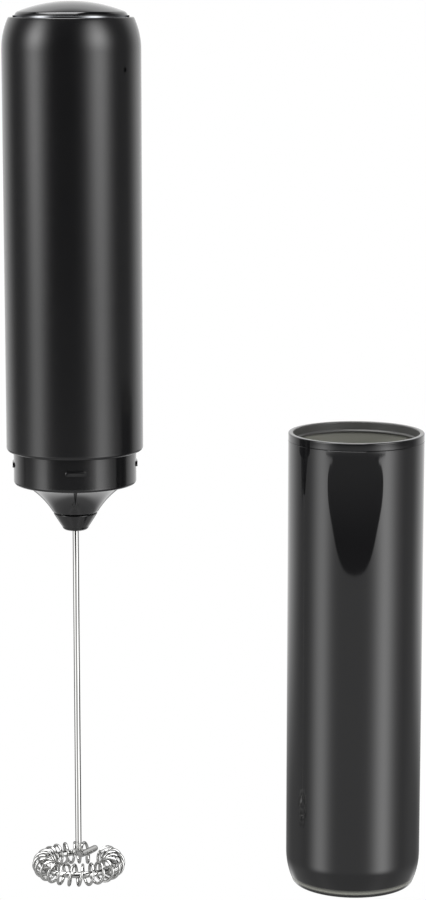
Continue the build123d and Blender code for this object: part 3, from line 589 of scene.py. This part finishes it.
def make_snap_ribs(rib_z):
    """The pill-shaped ribs that hold the cover, set round the collar by a node tree."""
    width, height, proud = 5.3, 1.35, 0.4
    sunk, edge_start, edge_middle = 0.5, 0.16, 0.06
    narrowed, top_narrowed = 0.08, 0.3

    def on_collar(x, y, depth):
        radius = COLLAR_R + depth
        return Vector((radius * math.cos(x / COLLAR_R), radius * math.sin(x / COLLAR_R), rib_z + y))

    rib = stacked(
        "snap_rib",
        [
            (stadium(width, height), -sunk),
            (stadium(width, height), proud - edge_start),
            (stadium(width - narrowed, height - narrowed), proud - edge_middle),
            (stadium(width - top_narrowed, height - top_narrowed), proud),
        ],
        on_collar,
    )
    tree = bpy.data.node_groups.new("ribs_round_collar", "GeometryNodeTree")
    tree.interface.new_socket("Rib", in_out="INPUT", socket_type="NodeSocketGeometry")
    tree.interface.new_socket("Ribs", in_out="INPUT", socket_type="NodeSocketInt")
    tree.interface.new_socket("First Angle", in_out="INPUT", socket_type="NodeSocketFloat")
    tree.interface.new_socket("Finish", in_out="INPUT", socket_type="NodeSocketMaterial")
    tree.interface.new_socket("Geometry", in_out="OUTPUT", socket_type="NodeSocketGeometry")
    given = add(tree, "NodeGroupInput").outputs
    spots = add(tree, "GeometryNodePoints", {"Count": given["Ribs"], "Radius": MM})
    share = add(tree, "DIVIDE", (add(tree, "GeometryNodeInputIndex"), given["Ribs"]))
    turn = add(tree, "MULTIPLY_ADD", (share, 2 * math.pi, given["First Angle"]))
    twist = add(tree, "ShaderNodeCombineXYZ", {"Z": turn})
    copies = add(tree, "GeometryNodeInstanceOnPoints", {
        "Points": spots, "Instance": given["Rib"], "Rotation": twist})
    solid = add(tree, "GeometryNodeRealizeInstances", {"Geometry": copies})
    finished = add(tree, "GeometryNodeSetMaterial", {"Geometry": solid, "Material": given["Finish"]})
    add(tree, "NodeGroupOutput", {"Geometry": finished})
    return run_tree(rib, tree, {
        "Ribs": SNAP_RIBS, "First Angle": math.radians(FIRST_RIB_DEGREES), "Finish": collar_abs})


def run_tree(piece, tree, values):
    """Runs a geometry tree on a piece with named values and keeps the result as its mesh."""
    change = piece.modifiers.new(tree.name, "NODES")
    change.node_group = tree
    names = {s.name: s.identifier for s in tree.interface.items_tree if s.in_out == "INPUT"}
    for name, value in values.items():
        change[names[name]] = value
    return settle(piece)


def make_collar():
    """The collar with its floor, its O-ring groove and its four snap ribs."""
    wall, hole_r, floor_thickness = 1.35, 3.2, 2.45
    seat_from, seat_to, seat_depth = 11.2, 12.4, 1.2
    groove_depth, groove_half = 0.75, 0.6
    foot_round, mouth_round = 0.8, 0.1
    rib_height = 5.05
    inner_r = COLLAR_R - wall
    groove_r = COLLAR_R - groove_depth
    floor_top = COLLAR_BOTTOM + floor_thickness
    groove_z = SHELL_BOTTOM + 3.2
    corners = [
        (hole_r, COLLAR_BOTTOM, 0),
        (seat_from, COLLAR_BOTTOM, 0),
        (seat_from, COLLAR_BOTTOM + seat_depth, 0),
        (seat_to, COLLAR_BOTTOM + seat_depth, 0),
        (seat_to, COLLAR_BOTTOM, 0),
        (COLLAR_R, COLLAR_BOTTOM, foot_round),
        (COLLAR_R, groove_z - groove_half, 0),
        (groove_r, groove_z - groove_half, 0),
        (groove_r, groove_z + groove_half, 0),
        (COLLAR_R, groove_z + groove_half, 0),
        (COLLAR_R, collar_high.z, mouth_round),
        (inner_r, collar_high.z, mouth_round),
        (inner_r, floor_top, 0),
        (hole_r, floor_top, 0),
    ]
    collar = turned("collar_body", rounded(corners))
    combine(collar, make_snap_ribs(COLLAR_BOTTOM + rib_height), "UNION")
    collar.data.materials.clear()
    collar.data.materials.append(collar_abs)
    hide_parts("collar")
    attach(collar, "handle")


def curve_through(start, middle, end, pieces=14):
    """Points of the circular arc through three (radius, height) points."""
    a, b, c = Vector(start), Vector(middle), Vector(end)
    d = 2 * (a.x * (b.y - c.y) + b.x * (c.y - a.y) + c.x * (a.y - b.y))
    a2, b2, c2 = a.length_squared, b.length_squared, c.length_squared
    ux = (a2 * (b.y - c.y) + b2 * (c.y - a.y) + c2 * (a.y - b.y)) / d
    uy = (a2 * (c.x - b.x) + b2 * (a.x - c.x) + c2 * (b.x - a.x)) / d
    centre = Vector((ux, uy))
    radius = (a - centre).length
    first = math.atan2(a.y - uy, a.x - ux)
    last = math.atan2(c.y - uy, c.x - ux)
    sweep = (last - first + math.pi) % (2 * math.pi) - math.pi
    angles = [first + sweep * k / pieces for k in range(pieces + 1)]
    return [(ux + radius * math.cos(angle), uy + radius * math.sin(angle)) for angle in angles]


def make_nose_cone():
    """The flared cone under the collar, hollow, with the spigot that holds it in the collar."""
    foot_r, hole_r, hole_depth = 5.9, 3.2, 1.4
    waist_r, waist_drop = 8.65, 3.8
    spigot_from, spigot_to, spigot_height = 11.3, 12.3, 1.1
    roof = 0.5
    bottom = cone_low.z
    waist = (waist_r, COLLAR_BOTTOM - waist_drop)
    flare = curve_through((cone_high.x, COLLAR_BOTTOM), waist, (foot_r, bottom))
    corners = [
        *[(x, y, 0) for x, y in flare[:-1]],
        (foot_r, bottom, 0.12),
        (hole_r, bottom, 0.1),
        (hole_r, bottom + hole_depth, 0),
        (spigot_from, COLLAR_BOTTOM - roof, 0),
        (spigot_from, COLLAR_BOTTOM + spigot_height, 0),
        (spigot_to, COLLAR_BOTTOM + spigot_height, 0),
        (spigot_to, COLLAR_BOTTOM, 0),
    ]
    cone = turned("nose_flare", rounded(corners))
    cone.data.materials.append(gloss_abs)
    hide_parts("nose_cone")
    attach(cone, "handle")


# ---------------------------------------------------------------- whisk

RING_Z = (coil_low.z + coil_high.z) / 2
WIRE_R = 0.8
COIL_WIRE_R = 0.375
COIL_R = (coil_high.z - coil_low.z) / 2 - COIL_WIRE_R
RING_R = 9.25
COIL_TURNS = 24
COIL_GAP_TURNS = 1.8
ARM_DEGREES = 60


def make_hub():
    """The hub: a small cone with a neck that reaches up onto the drive bush."""
    foot_r, tip_r, tip_height = 2.5, 3.4, 0.8
    waist_r, waist_drop = 4.45, 2.1
    neck_r = 2.85
    flats, socket_depth = 1.72, 7.0
    gap_under_cone = 0.4
    top = cone_low.z - gap_under_cone
    bottom = hub_low.z
    tip = (tip_r, bottom + tip_height)
    side = curve_through((hub_high.x, top), (waist_r, top - waist_drop), tip)
    foot = curve_through(tip, (foot_r + 0.58, bottom + 0.24), (foot_r, bottom), 6)
    corners = [
        (0, bottom, 0),
        (foot_r, bottom, 0),
        *[(x, y, 0) for x, y in foot[-2:0:-1]],
        *[(x, y, 0) for x, y in side[:0:-1]],
        (hub_high.x, top, 0.15),
        (neck_r, top, 0.1),
        (neck_r, hub_high.z, 0.15),
        (0, hub_high.z, 0),
    ]
    hub = turned("whisk_cone", rounded(corners, closed=False), closed=False)
    corner_r = flats / math.cos(math.pi / 6)
    angles = [math.pi * k / 3 + math.pi / 6 for k in range(6)]
    hexagon = [(corner_r * math.cos(angle), corner_r * math.sin(angle)) for angle in angles]
    socket = stacked(
        "hex_socket",
        [(hexagon, 0), (hexagon, socket_depth + 1)],
        lambda x, y, depth: Vector((x, y, hub_high.z - socket_depth + depth)),
    )
    combine(hub, socket, "DIFFERENCE")
    hub.data.materials.append(collar_abs)
    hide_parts("whisk_hub")
    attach(hub, "whisk")


def bent_route(corners, radii, step=math.radians(7)):
    """A wire's centre line: straight runs joined by round bends of the given radii."""
    route = [Vector(corners[0])]
    for k, radius in enumerate(radii, 1):
        here = Vector(corners[k])
        back = (Vector(corners[k - 1]) - here).normalized()
        ahead = (Vector(corners[k + 1]) - here).normalized()
        half = back.angle(ahead) / 2
        centre = here + (back + ahead).normalized() * radius / math.sin(half)
        first = here + back * radius / math.tan(half) - centre
        axis = first.cross(here + ahead * radius / math.tan(half) - centre).normalized()
        turn = math.pi - 2 * half
        pieces = math.ceil(turn / step)
        route += [centre + Matrix.Rotation(turn * n / pieces, 3, axis) @ first for n in range(pieces + 1)]
    route.append(Vector(corners[-1]))
    return route


def wire_piece(name, route, radius, sides=20):
    """A round wire along a centre line in millimetres, with closed ends."""
    line = bpy.data.curves.new(name, "CURVE")
    line.dimensions = "3D"
    line.bevel_depth = radius * MM
    line.bevel_resolution = sides // 4 - 1
    line.use_fill_caps = True
    spline = line.splines.new("POLY")
    spline.points.add(len(route) - 1)
    for point, place in zip(spline.points, route):
        point.co = (*(place * MM), 1.0)
    drawn = link(line, name + "_line")
    bpy.context.view_layer.update()
    mesh = bpy.data.meshes.new_from_object(drawn.evaluated_get(bpy.context.evaluated_depsgraph_get()))
    bpy.data.objects.remove(drawn)
    build = bmesh.new()
    build.from_mesh(mesh)
    bmesh.ops.remove_doubles(build, verts=build.verts, dist=0.001 * MM)
    bmesh.ops.recalc_face_normals(build, faces=build.faces)
    build.to_mesh(mesh)
    build.free()
    smooth(mesh, 50)
    return link(mesh, name)


def on_ring(degrees):
    """A point on the whisk ring's centre line, in millimetres."""
    angle = math.radians(degrees)
    return Vector((RING_R * math.cos(angle), RING_R * math.sin(angle), RING_Z))


def make_whisk_wire():
    """One wire: the stem, its bend, the arm out to the ring, and the ring."""
    arm_run, arm_rise, arm_end, stem_end = 4.6, 1.7, 1.7, 2.2
    bend_radii = [2.0, 1.6, 1.6]
    ring_step, ring_steps = 3.5, 92
    ring_start = ARM_DEGREES + math.degrees(arm_run / RING_R)
    along = Vector((-math.sin(math.radians(ring_start)), math.cos(math.radians(ring_start)), 0))
    up = Vector((0, 0, 1))
    corners = [
        Vector((0, 0, wire_high.z)),
        Vector((0, 0, RING_Z + stem_end)),
        on_ring(ring_start) - along * arm_run + up * arm_rise,
        on_ring(ring_start) - along * arm_end,
        on_ring(ring_start),
    ]
    route = bent_route(corners, bend_radii)
    route += [on_ring(ring_start + k * ring_step) for k in range(1, ring_steps + 1)]
    wire = wire_piece("stem_and_ring", route, WIRE_R)
    wire.data.materials.append(whisk_steel)
    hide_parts("whisk_wire")
    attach(wire, "whisk")


def coil_tree():
    """A node tree that winds a spring round a ring, with a little unevenness from turn to turn."""
    sway_per_turn, width_sway = 0.7, 0.35
    tree = bpy.data.node_groups.new("spring_round_ring", "GeometryNodeTree")
    for name, kind in (
        ("Geometry", "NodeSocketGeometry"), ("Ring Radius", "NodeSocketFloat"),
        ("Coil Radius", "NodeSocketFloat"), ("Wire Radius", "NodeSocketFloat"),
        ("Turns", "NodeSocketFloat"), ("Points Per Turn", "NodeSocketInt"),
        ("Start Angle", "NodeSocketFloat"), ("Turn Angle", "NodeSocketFloat"),
        ("Height", "NodeSocketFloat"), ("Unevenness", "NodeSocketFloat"),
        ("Seed", "NodeSocketFloat"), ("Finish", "NodeSocketMaterial"),
    ):
        tree.interface.new_socket(name, in_out="INPUT", socket_type=kind)
    tree.interface.new_socket("Geometry", in_out="OUTPUT", socket_type="NodeSocketGeometry")
    given = add(tree, "NodeGroupInput").outputs
    # which turn of the spring a point is on, and how far that turn strays
    count = add(tree, "MULTIPLY_ADD", (given["Turns"], given["Points Per Turn"], 1.0))
    turn = add(tree, "DIVIDE", (add(tree, "GeometryNodeInputIndex"), given["Points Per Turn"]))
    sway = add(tree, "ShaderNodeTexNoise", {
        "W": add(tree, "MULTIPLY_ADD", (turn, sway_per_turn, given["Seed"])),
        "Scale": 1.0, "Detail": 1.0}, noise_dimensions="1D")
    uneven = add(tree, "MULTIPLY", (add(tree, "SUBTRACT", (sway.outputs["Fac"], 0.5)), given["Unevenness"]))
    # the point's place: round the wire by its wind, round the ring by its turn
    wind = add(tree, "MULTIPLY", (turn, -2 * math.pi))
    coil_r = add(tree, "MULTIPLY", (
        given["Coil Radius"], add(tree, "MULTIPLY_ADD", (uneven, width_sway, 1.0))))
    around = add(tree, "MULTIPLY_ADD", (
        given["Turn Angle"], add(tree, "ADD", (turn, uneven)), given["Start Angle"]))
    inward = add(tree, "MULTIPLY", (coil_r, add(tree, "COSINE", (wind,))))
    reach = add(tree, "SUBTRACT", (given["Ring Radius"], inward))
    height = add(tree, "MULTIPLY_ADD", (coil_r, add(tree, "SINE", (wind,)), given["Height"]))
    place = add(tree, "ShaderNodeCombineXYZ", {
        "X": add(tree, "MULTIPLY", (reach, add(tree, "COSINE", (around,)))),
        "Y": add(tree, "MULTIPLY", (reach, add(tree, "SINE", (around,)))),
        "Z": height})
    line = add(tree, "GeometryNodeMeshLine", {"Count": count})
    curve = add(tree, "GeometryNodeMeshToCurve", {"Mesh": line})
    wound = add(tree, "GeometryNodeSetPosition", {"Geometry": curve, "Position": place})
    section = add(tree, "GeometryNodeCurvePrimitiveCircle", {
        "Resolution": 10, "Radius": given["Wire Radius"]})
    wire = add(tree, "GeometryNodeCurveToMesh", {"Curve": wound, "Profile Curve": section, "Fill Caps": True})
    soft = add(tree, "GeometryNodeSetShadeSmooth", {"Geometry": wire})
    solid = add(tree, "GeometryNodeRealizeInstances", {"Geometry": soft})
    finished = add(tree, "GeometryNodeSetMaterial", {"Geometry": solid, "Material": given["Finish"]})
    add(tree, "NodeGroupOutput", {"Geometry": finished})
    return tree


def make_whisk_coil():
    """The fine spring wound round the whisk's ring."""
    step = 2 * math.pi / COIL_TURNS
    coil = link(bpy.data.meshes.new("whisk_spring"), "whisk_spring")
    run_tree(coil, coil_tree(), {
        "Ring Radius": RING_R * MM,
        "Coil Radius": COIL_R * MM,
        "Wire Radius": COIL_WIRE_R * MM,
        "Turns": COIL_TURNS - COIL_GAP_TURNS,
        "Points Per Turn": 28,
        "Start Angle": math.radians(ARM_DEGREES) + step * COIL_GAP_TURNS / 2,
        "Turn Angle": step,
        "Height": RING_Z * MM,
        "Unevenness": 0.09,
        "Seed": 7.0,
        "Finish": whisk_steel,
    })
    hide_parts("whisk_coil")
    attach(coil, "whisk")


# ---------------------------------------------------------------- cover

def make_cover():
    """The loose cover: a glossy cup with a snap bead in its mouth, a fine line round it and a curved foot."""
    wall, floor_thickness = 1.3, 1.6
    line_drop, line_half = 2.0, 0.12
    bead_drop, bead_proud, bead_face, bead_height = 2.05, 0.35, 0.2, 0.9
    chamfer_width, chamfer_round, foot_round = 2.4, 3.0, 1.5
    mouth, base = cover_high.z, cover_low.z
    inner_r = HANDLE_R - wall
    bead_r = inner_r - bead_proud
    bead_top = mouth - bead_drop
    line_z = mouth - line_drop
    foot = [(x, y, 0) for x, y in shoulder_arc(HANDLE_R, base + SHOULDER_HEIGHT, -1)]
    corners = [
        (0, base, 0),
        (foot[-1][0], base, 0.4),
        *foot[-2::-1],
        (HANDLE_R, line_z - line_half, 0),
        (HANDLE_R - line_half, line_z, 0),
        (HANDLE_R, line_z + line_half, 0),
        (HANDLE_R, mouth, 0.3),
        (inner_r, mouth, 0.3),
        (inner_r, bead_top, 0.1),
        (bead_r, bead_top - bead_proud, 0.1),
        (bead_r, bead_top - bead_proud - bead_face, 0.1),
        (inner_r, bead_top - bead_height, 0.1),
        (inner_r, base + SHOULDER_HEIGHT, chamfer_round),
        (inner_r - chamfer_width, base + floor_thickness, foot_round),
        (0, base + floor_thickness, 0),
    ]
    cover = turned("cover_sleeve", rounded(corners, closed=False), closed=False, axis_x=COVER_X, sides=256)
    cover.data.materials.append(cover_abs)
    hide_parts("cover_cup")
    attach(cover, "cover")


for make_piece in (
    make_handle_shell, make_bezel, make_button, make_collar, make_nose_cone,
    make_hub, make_whisk_wire, make_whisk_coil, make_cover,
):
    make_piece()


def finish_inside_pieces():
    """Gives every CAD node that still shows its own finish, by its slot in the record."""
    slots = {part["node"]: part["material_slot"] for part in frame["record"]["subparts"]}
    made = {name: workshop_finish(name, *values) for name, values in INSIDE_FINISHES.items()}
    made.update({
        "clear_pipe": window_lens, "shell_black": satin_abs, "bezel_chrome": bezel_chrome,
        "button_black": button_abs, "collar_black": collar_abs, "cone_black": gloss_abs,
        "hub_black": collar_abs, "whisk_steel": whisk_steel, "cover_black": cover_abs})
    for name, node in frame["nodes"].items():
        for place in node.material_slots:
            place.material = made[slots[name]]


finish_inside_pieces()


# ---------------------------------------------------------------- studio

def make_floor():
    """A white floor for the camera alone, under the whisk when it is pulled off; clear from below."""
    reach, drop = 9000, 9
    height = coil_low.z - drop
    mesh = bpy.data.meshes.new("floor_seen")
    corners = [Vector((x * reach, y * reach, height)) * MM for x, y in ((-1, -1), (1, -1), (1, 1), (-1, 1))]
    mesh.from_pydata(corners, [], [(0, 1, 2, 3)])
    floor = link(mesh, "floor_seen")
    material, tree = new_material("white_floor_sheet")
    under = add(tree, "ShaderNodeNewGeometry").outputs["Backfacing"]
    white = add(tree, "ShaderNodeEmission", {"Strength": 1.0})
    clear = add(tree, "ShaderNodeBsdfTransparent")
    sheet = add(tree, "ShaderNodeMixShader", (under, white, clear))
    add(tree, "ShaderNodeOutputMaterial", {"Surface": sheet})
    mesh.materials.append(material)
    for ray in ("visible_diffuse", "visible_glossy", "visible_transmission", "visible_shadow"):
        setattr(floor, ray, False)


make_floor()


def step_up(tree, value, start, end):
    """0 before start, 1 past end, eased between."""
    return add(tree, "ShaderNodeMapRange", {
        "Value": value, "From Min": start, "From Max": end}, interpolation_type="SMOOTHSTEP")


def blend(tree, share, first, second):
    """The first value where share is 0, the second where it is 1."""
    kept = add(tree, "MULTIPLY", (first, add(tree, "SUBTRACT", (1.0, share))))
    return add(tree, "ADD", (kept, add(tree, "MULTIPLY", (share, second))))


def soft_edge(tree, value, middle, width):
    """A soft light's fall-off to both sides of its middle."""
    share = add(tree, "DIVIDE", (add(tree, "SUBTRACT", (value, middle)), width))
    square = add(tree, "MULTIPLY", (share, share))
    return add(tree, "EXPONENT", (add(tree, "MULTIPLY", (square, -1.0)),))


def distance_within(tree, value, middle, half_width):
    """How far a value lies inside the half-width round a middle."""
    off = add(tree, "ABSOLUTE", (add(tree, "SUBTRACT", (value, middle)),))
    return add(tree, "SUBTRACT", (half_width, off))


def soft_lights(tree, around, up, over_table):
    """Two tall soft lights, brightest above the handle's height and weakest just over the table."""
    left_way, left_width, left_low, left_more = -61, 16, 2.1, 0.9
    right_way, right_width, right_low, right_more = 49, 18, 2.9, 0.1
    bright_at, bright_width, bright_more = 17, 15, 1.1
    weak_at, weak_width, weak_less = -8.5, 2.8, 0.6
    left = add(tree, "MULTIPLY", (
        soft_edge(tree, around, left_way, left_width),
        add(tree, "MULTIPLY_ADD", (over_table, left_more, left_low))))
    right = add(tree, "MULTIPLY", (
        soft_edge(tree, around, right_way, right_width),
        add(tree, "MULTIPLY_ADD", (over_table, right_more, right_low))))
    lift = add(tree, "MULTIPLY_ADD", (soft_edge(tree, up, bright_at, bright_width), bright_more, 1.0))
    weak = add(tree, "MULTIPLY", (soft_edge(tree, up, weak_at, weak_width), over_table))
    dip = add(tree, "MULTIPLY_ADD", (weak, -weak_less, 1.0))
    both = add(tree, "ADD", (left, right))
    return add(tree, "MULTIPLY", (both, add(tree, "MULTIPLY", (lift, dip))))


def tent_walls(tree, off_front, up, over_table, lights):
    """Black cloth in front over a pale table, grey at the sides and white behind; dark high up."""
    table, table_side, cloth, cloth_side = 0.62, -0.22, 0.012, 0.17
    back_low, back_more = 0.25, 0.9
    side_from, side_to = 68, 95
    behind_from, behind_to = 104, 140
    top_from, top_to = 34, 50
    at_side = step_up(tree, off_front, side_from, side_to)
    behind = step_up(tree, off_front, behind_from, behind_to)
    front = blend(
        tree, over_table,
        add(tree, "MULTIPLY_ADD", (at_side, table_side, table)),
        add(tree, "MULTIPLY_ADD", (at_side, cloth_side, cloth)))
    back = add(tree, "MULTIPLY_ADD", (step_up(tree, up, -18, -12), back_more, back_low))
    walls = add(tree, "ADD", (blend(tree, behind, front, back), lights))
    open_top = step_up(tree, up, top_from, top_to)
    return add(tree, "MULTIPLY", (walls, add(tree, "SUBTRACT", (1.0, open_top))))


def tent_floor(tree, off_front, up, lights):
    """The floor: darkest under the pair, lit behind them, with a trace of the two lights."""
    floor, light_trace = 0.5, 0.06
    lit_behind = add(tree, "MULTIPLY", (step_up(tree, off_front, 130, 165), step_up(tree, up, -70, -54)))
    return add(tree, "ADD", (lit_behind, add(tree, "MULTIPLY_ADD", (lights, light_trace, floor))))


def hanging_cloth(tree, around, up):
    """The hanging end of the cloth: its half-width follows a curve over its last degrees."""
    middle, lowest, highest, widest = -4.0, -13.0, -10.13, 100.0
    curve_span, edge_blur = 4.0, 0.5
    risen = add(tree, "DIVIDE", (add(tree, "SUBTRACT", (up, lowest)), curve_span), use_clamp=True)
    edge = add(tree, "ShaderNodeFloatCurve", {"Value": risen})
    points = edge.mapping.curves[0].points
    points[0].location = (0.0, 0.0)
    points[1].location = (1.0, 0.3)
    for height, half in (
        (0.06, 0.0), (0.075, 0.11), (0.1175, 0.223), (0.3025, 0.378), (0.5575, 0.479),
        (0.65, 0.44), (0.675, 0.388), (0.7075, 0.506), (0.75, 0.55),
    ):
        points.new(height, half)
    edge.mapping.update()
    half_width = add(tree, "MULTIPLY", (edge, widest))
    inside = step_up(tree, distance_within(tree, around, middle, half_width), 0.0, edge_blur)
    between = add(tree, "MULTIPLY", (
        add(tree, "GREATER_THAN", (up, lowest)), add(tree, "LESS_THAN", (up, highest))))
    return add(tree, "MULTIPLY", (inside, between))


def dark_stand(tree, around, up):
    """A dark stand at the left, under the table's edge, wider towards its top."""
    middle, highest, widening, width_at_level, edge_blur = -106.0, -10.13, 3.6, 41.4, 1.5
    half_width = add(tree, "MULTIPLY_ADD", (up, widening, width_at_level))
    inside = step_up(tree, distance_within(tree, around, middle, half_width), 0.0, edge_blur)
    return add(tree, "MULTIPLY", (inside, add(tree, "LESS_THAN", (up, highest))))


def overhead_box(tree, x, y, z):
    """The soft box overhead, on a plane one unit up, a little to the left."""
    middle_x, half_x, half_y, edge, lowest = -0.26, 0.45, 0.5, 0.06, 0.5
    across = distance_within(tree, add(tree, "DIVIDE", (x, z)), middle_x, half_x)
    along = distance_within(tree, add(tree, "DIVIDE", (y, z)), 0.0, half_y)
    face = add(tree, "MULTIPLY", (step_up(tree, across, 0.0, edge), step_up(tree, along, 0.0, edge)))
    return add(tree, "MULTIPLY", (face, add(tree, "GREATER_THAN", (z, lowest))))


def make_world():
    """A light tent, drawn by direction in degrees: around is 0 in front, and up is 0 on the level."""
    cloth_dark, cloth_more, stand_dark, overhead_bright = 0.03, 0.2, 0.1, 7.0
    table_edge_from, table_edge_to = -10.05, -9.95
    floor_from, floor_to = -20, -29
    hem_from, hem_to = -12.2, -10.2
    world = bpy.data.worlds.new("light_tent")
    bpy.context.scene.world = world
    world.use_nodes = True
    tree = world.node_tree
    tree.nodes.clear()
    way = add(tree, "ShaderNodeTexCoord").outputs["Generated"]
    x, y, z = add(tree, "ShaderNodeSeparateXYZ", {"Vector": way}).outputs
    around = add(tree, "DEGREES", (add(tree, "ARCTAN2", (x, add(tree, "MULTIPLY", (y, -1.0)))),))
    off_front = add(tree, "ABSOLUTE", (around,))
    up = add(tree, "DEGREES", (add(tree, "ARCSINE", (z,)),))
    over_table = step_up(tree, up, table_edge_from, table_edge_to)
    lights = soft_lights(tree, around, up, over_table)
    walls = tent_walls(tree, off_front, up, over_table, lights)
    below = step_up(tree, up, floor_from, floor_to)
    tent = blend(tree, below, walls, tent_floor(tree, off_front, up, lights))
    cloth = add(tree, "MULTIPLY_ADD", (step_up(tree, up, hem_from, hem_to), cloth_more, cloth_dark))
    tent = blend(tree, hanging_cloth(tree, around, up), tent, cloth)
    tent = blend(tree, dark_stand(tree, around, up), tent, stand_dark)
    total = add(tree, "MULTIPLY_ADD", (overhead_box(tree, x, y, z), overhead_bright, tent))
    ray = add(tree, "ShaderNodeLightPath").outputs["Is Camera Ray"]
    bright = add(tree, "ShaderNodeBackground", {"Color": (1, 1, 1, 1), "Strength": 1.0})
    studio = add(tree, "ShaderNodeBackground", {"Color": (1, 1, 1, 1), "Strength": total})
    mixed = add(tree, "ShaderNodeMixShader", (ray, studio, bright))
    add(tree, "ShaderNodeOutputWorld", {"Surface": mixed})


make_world()


def make_camera():
    """A long lens a little above the handle, looking down at the pair."""
    to_right, distance, above_handle, down = 35.43, 682.3, 11.6, 10.087
    data = bpy.data.cameras.new("camera")
    data.sensor_width = 36
    data.lens = 108
    data.clip_start = 0.05
    data.clip_end = 40
    camera = link(data, "camera")
    camera.location = Vector((to_right, -distance, SHELL_TOP + above_handle)) * MM
    camera.rotation_euler = (math.radians(90 - down), 0, 0)
    bpy.context.scene.camera = camera


make_camera()
bpy.context.scene.view_settings.view_transform = "Standard"
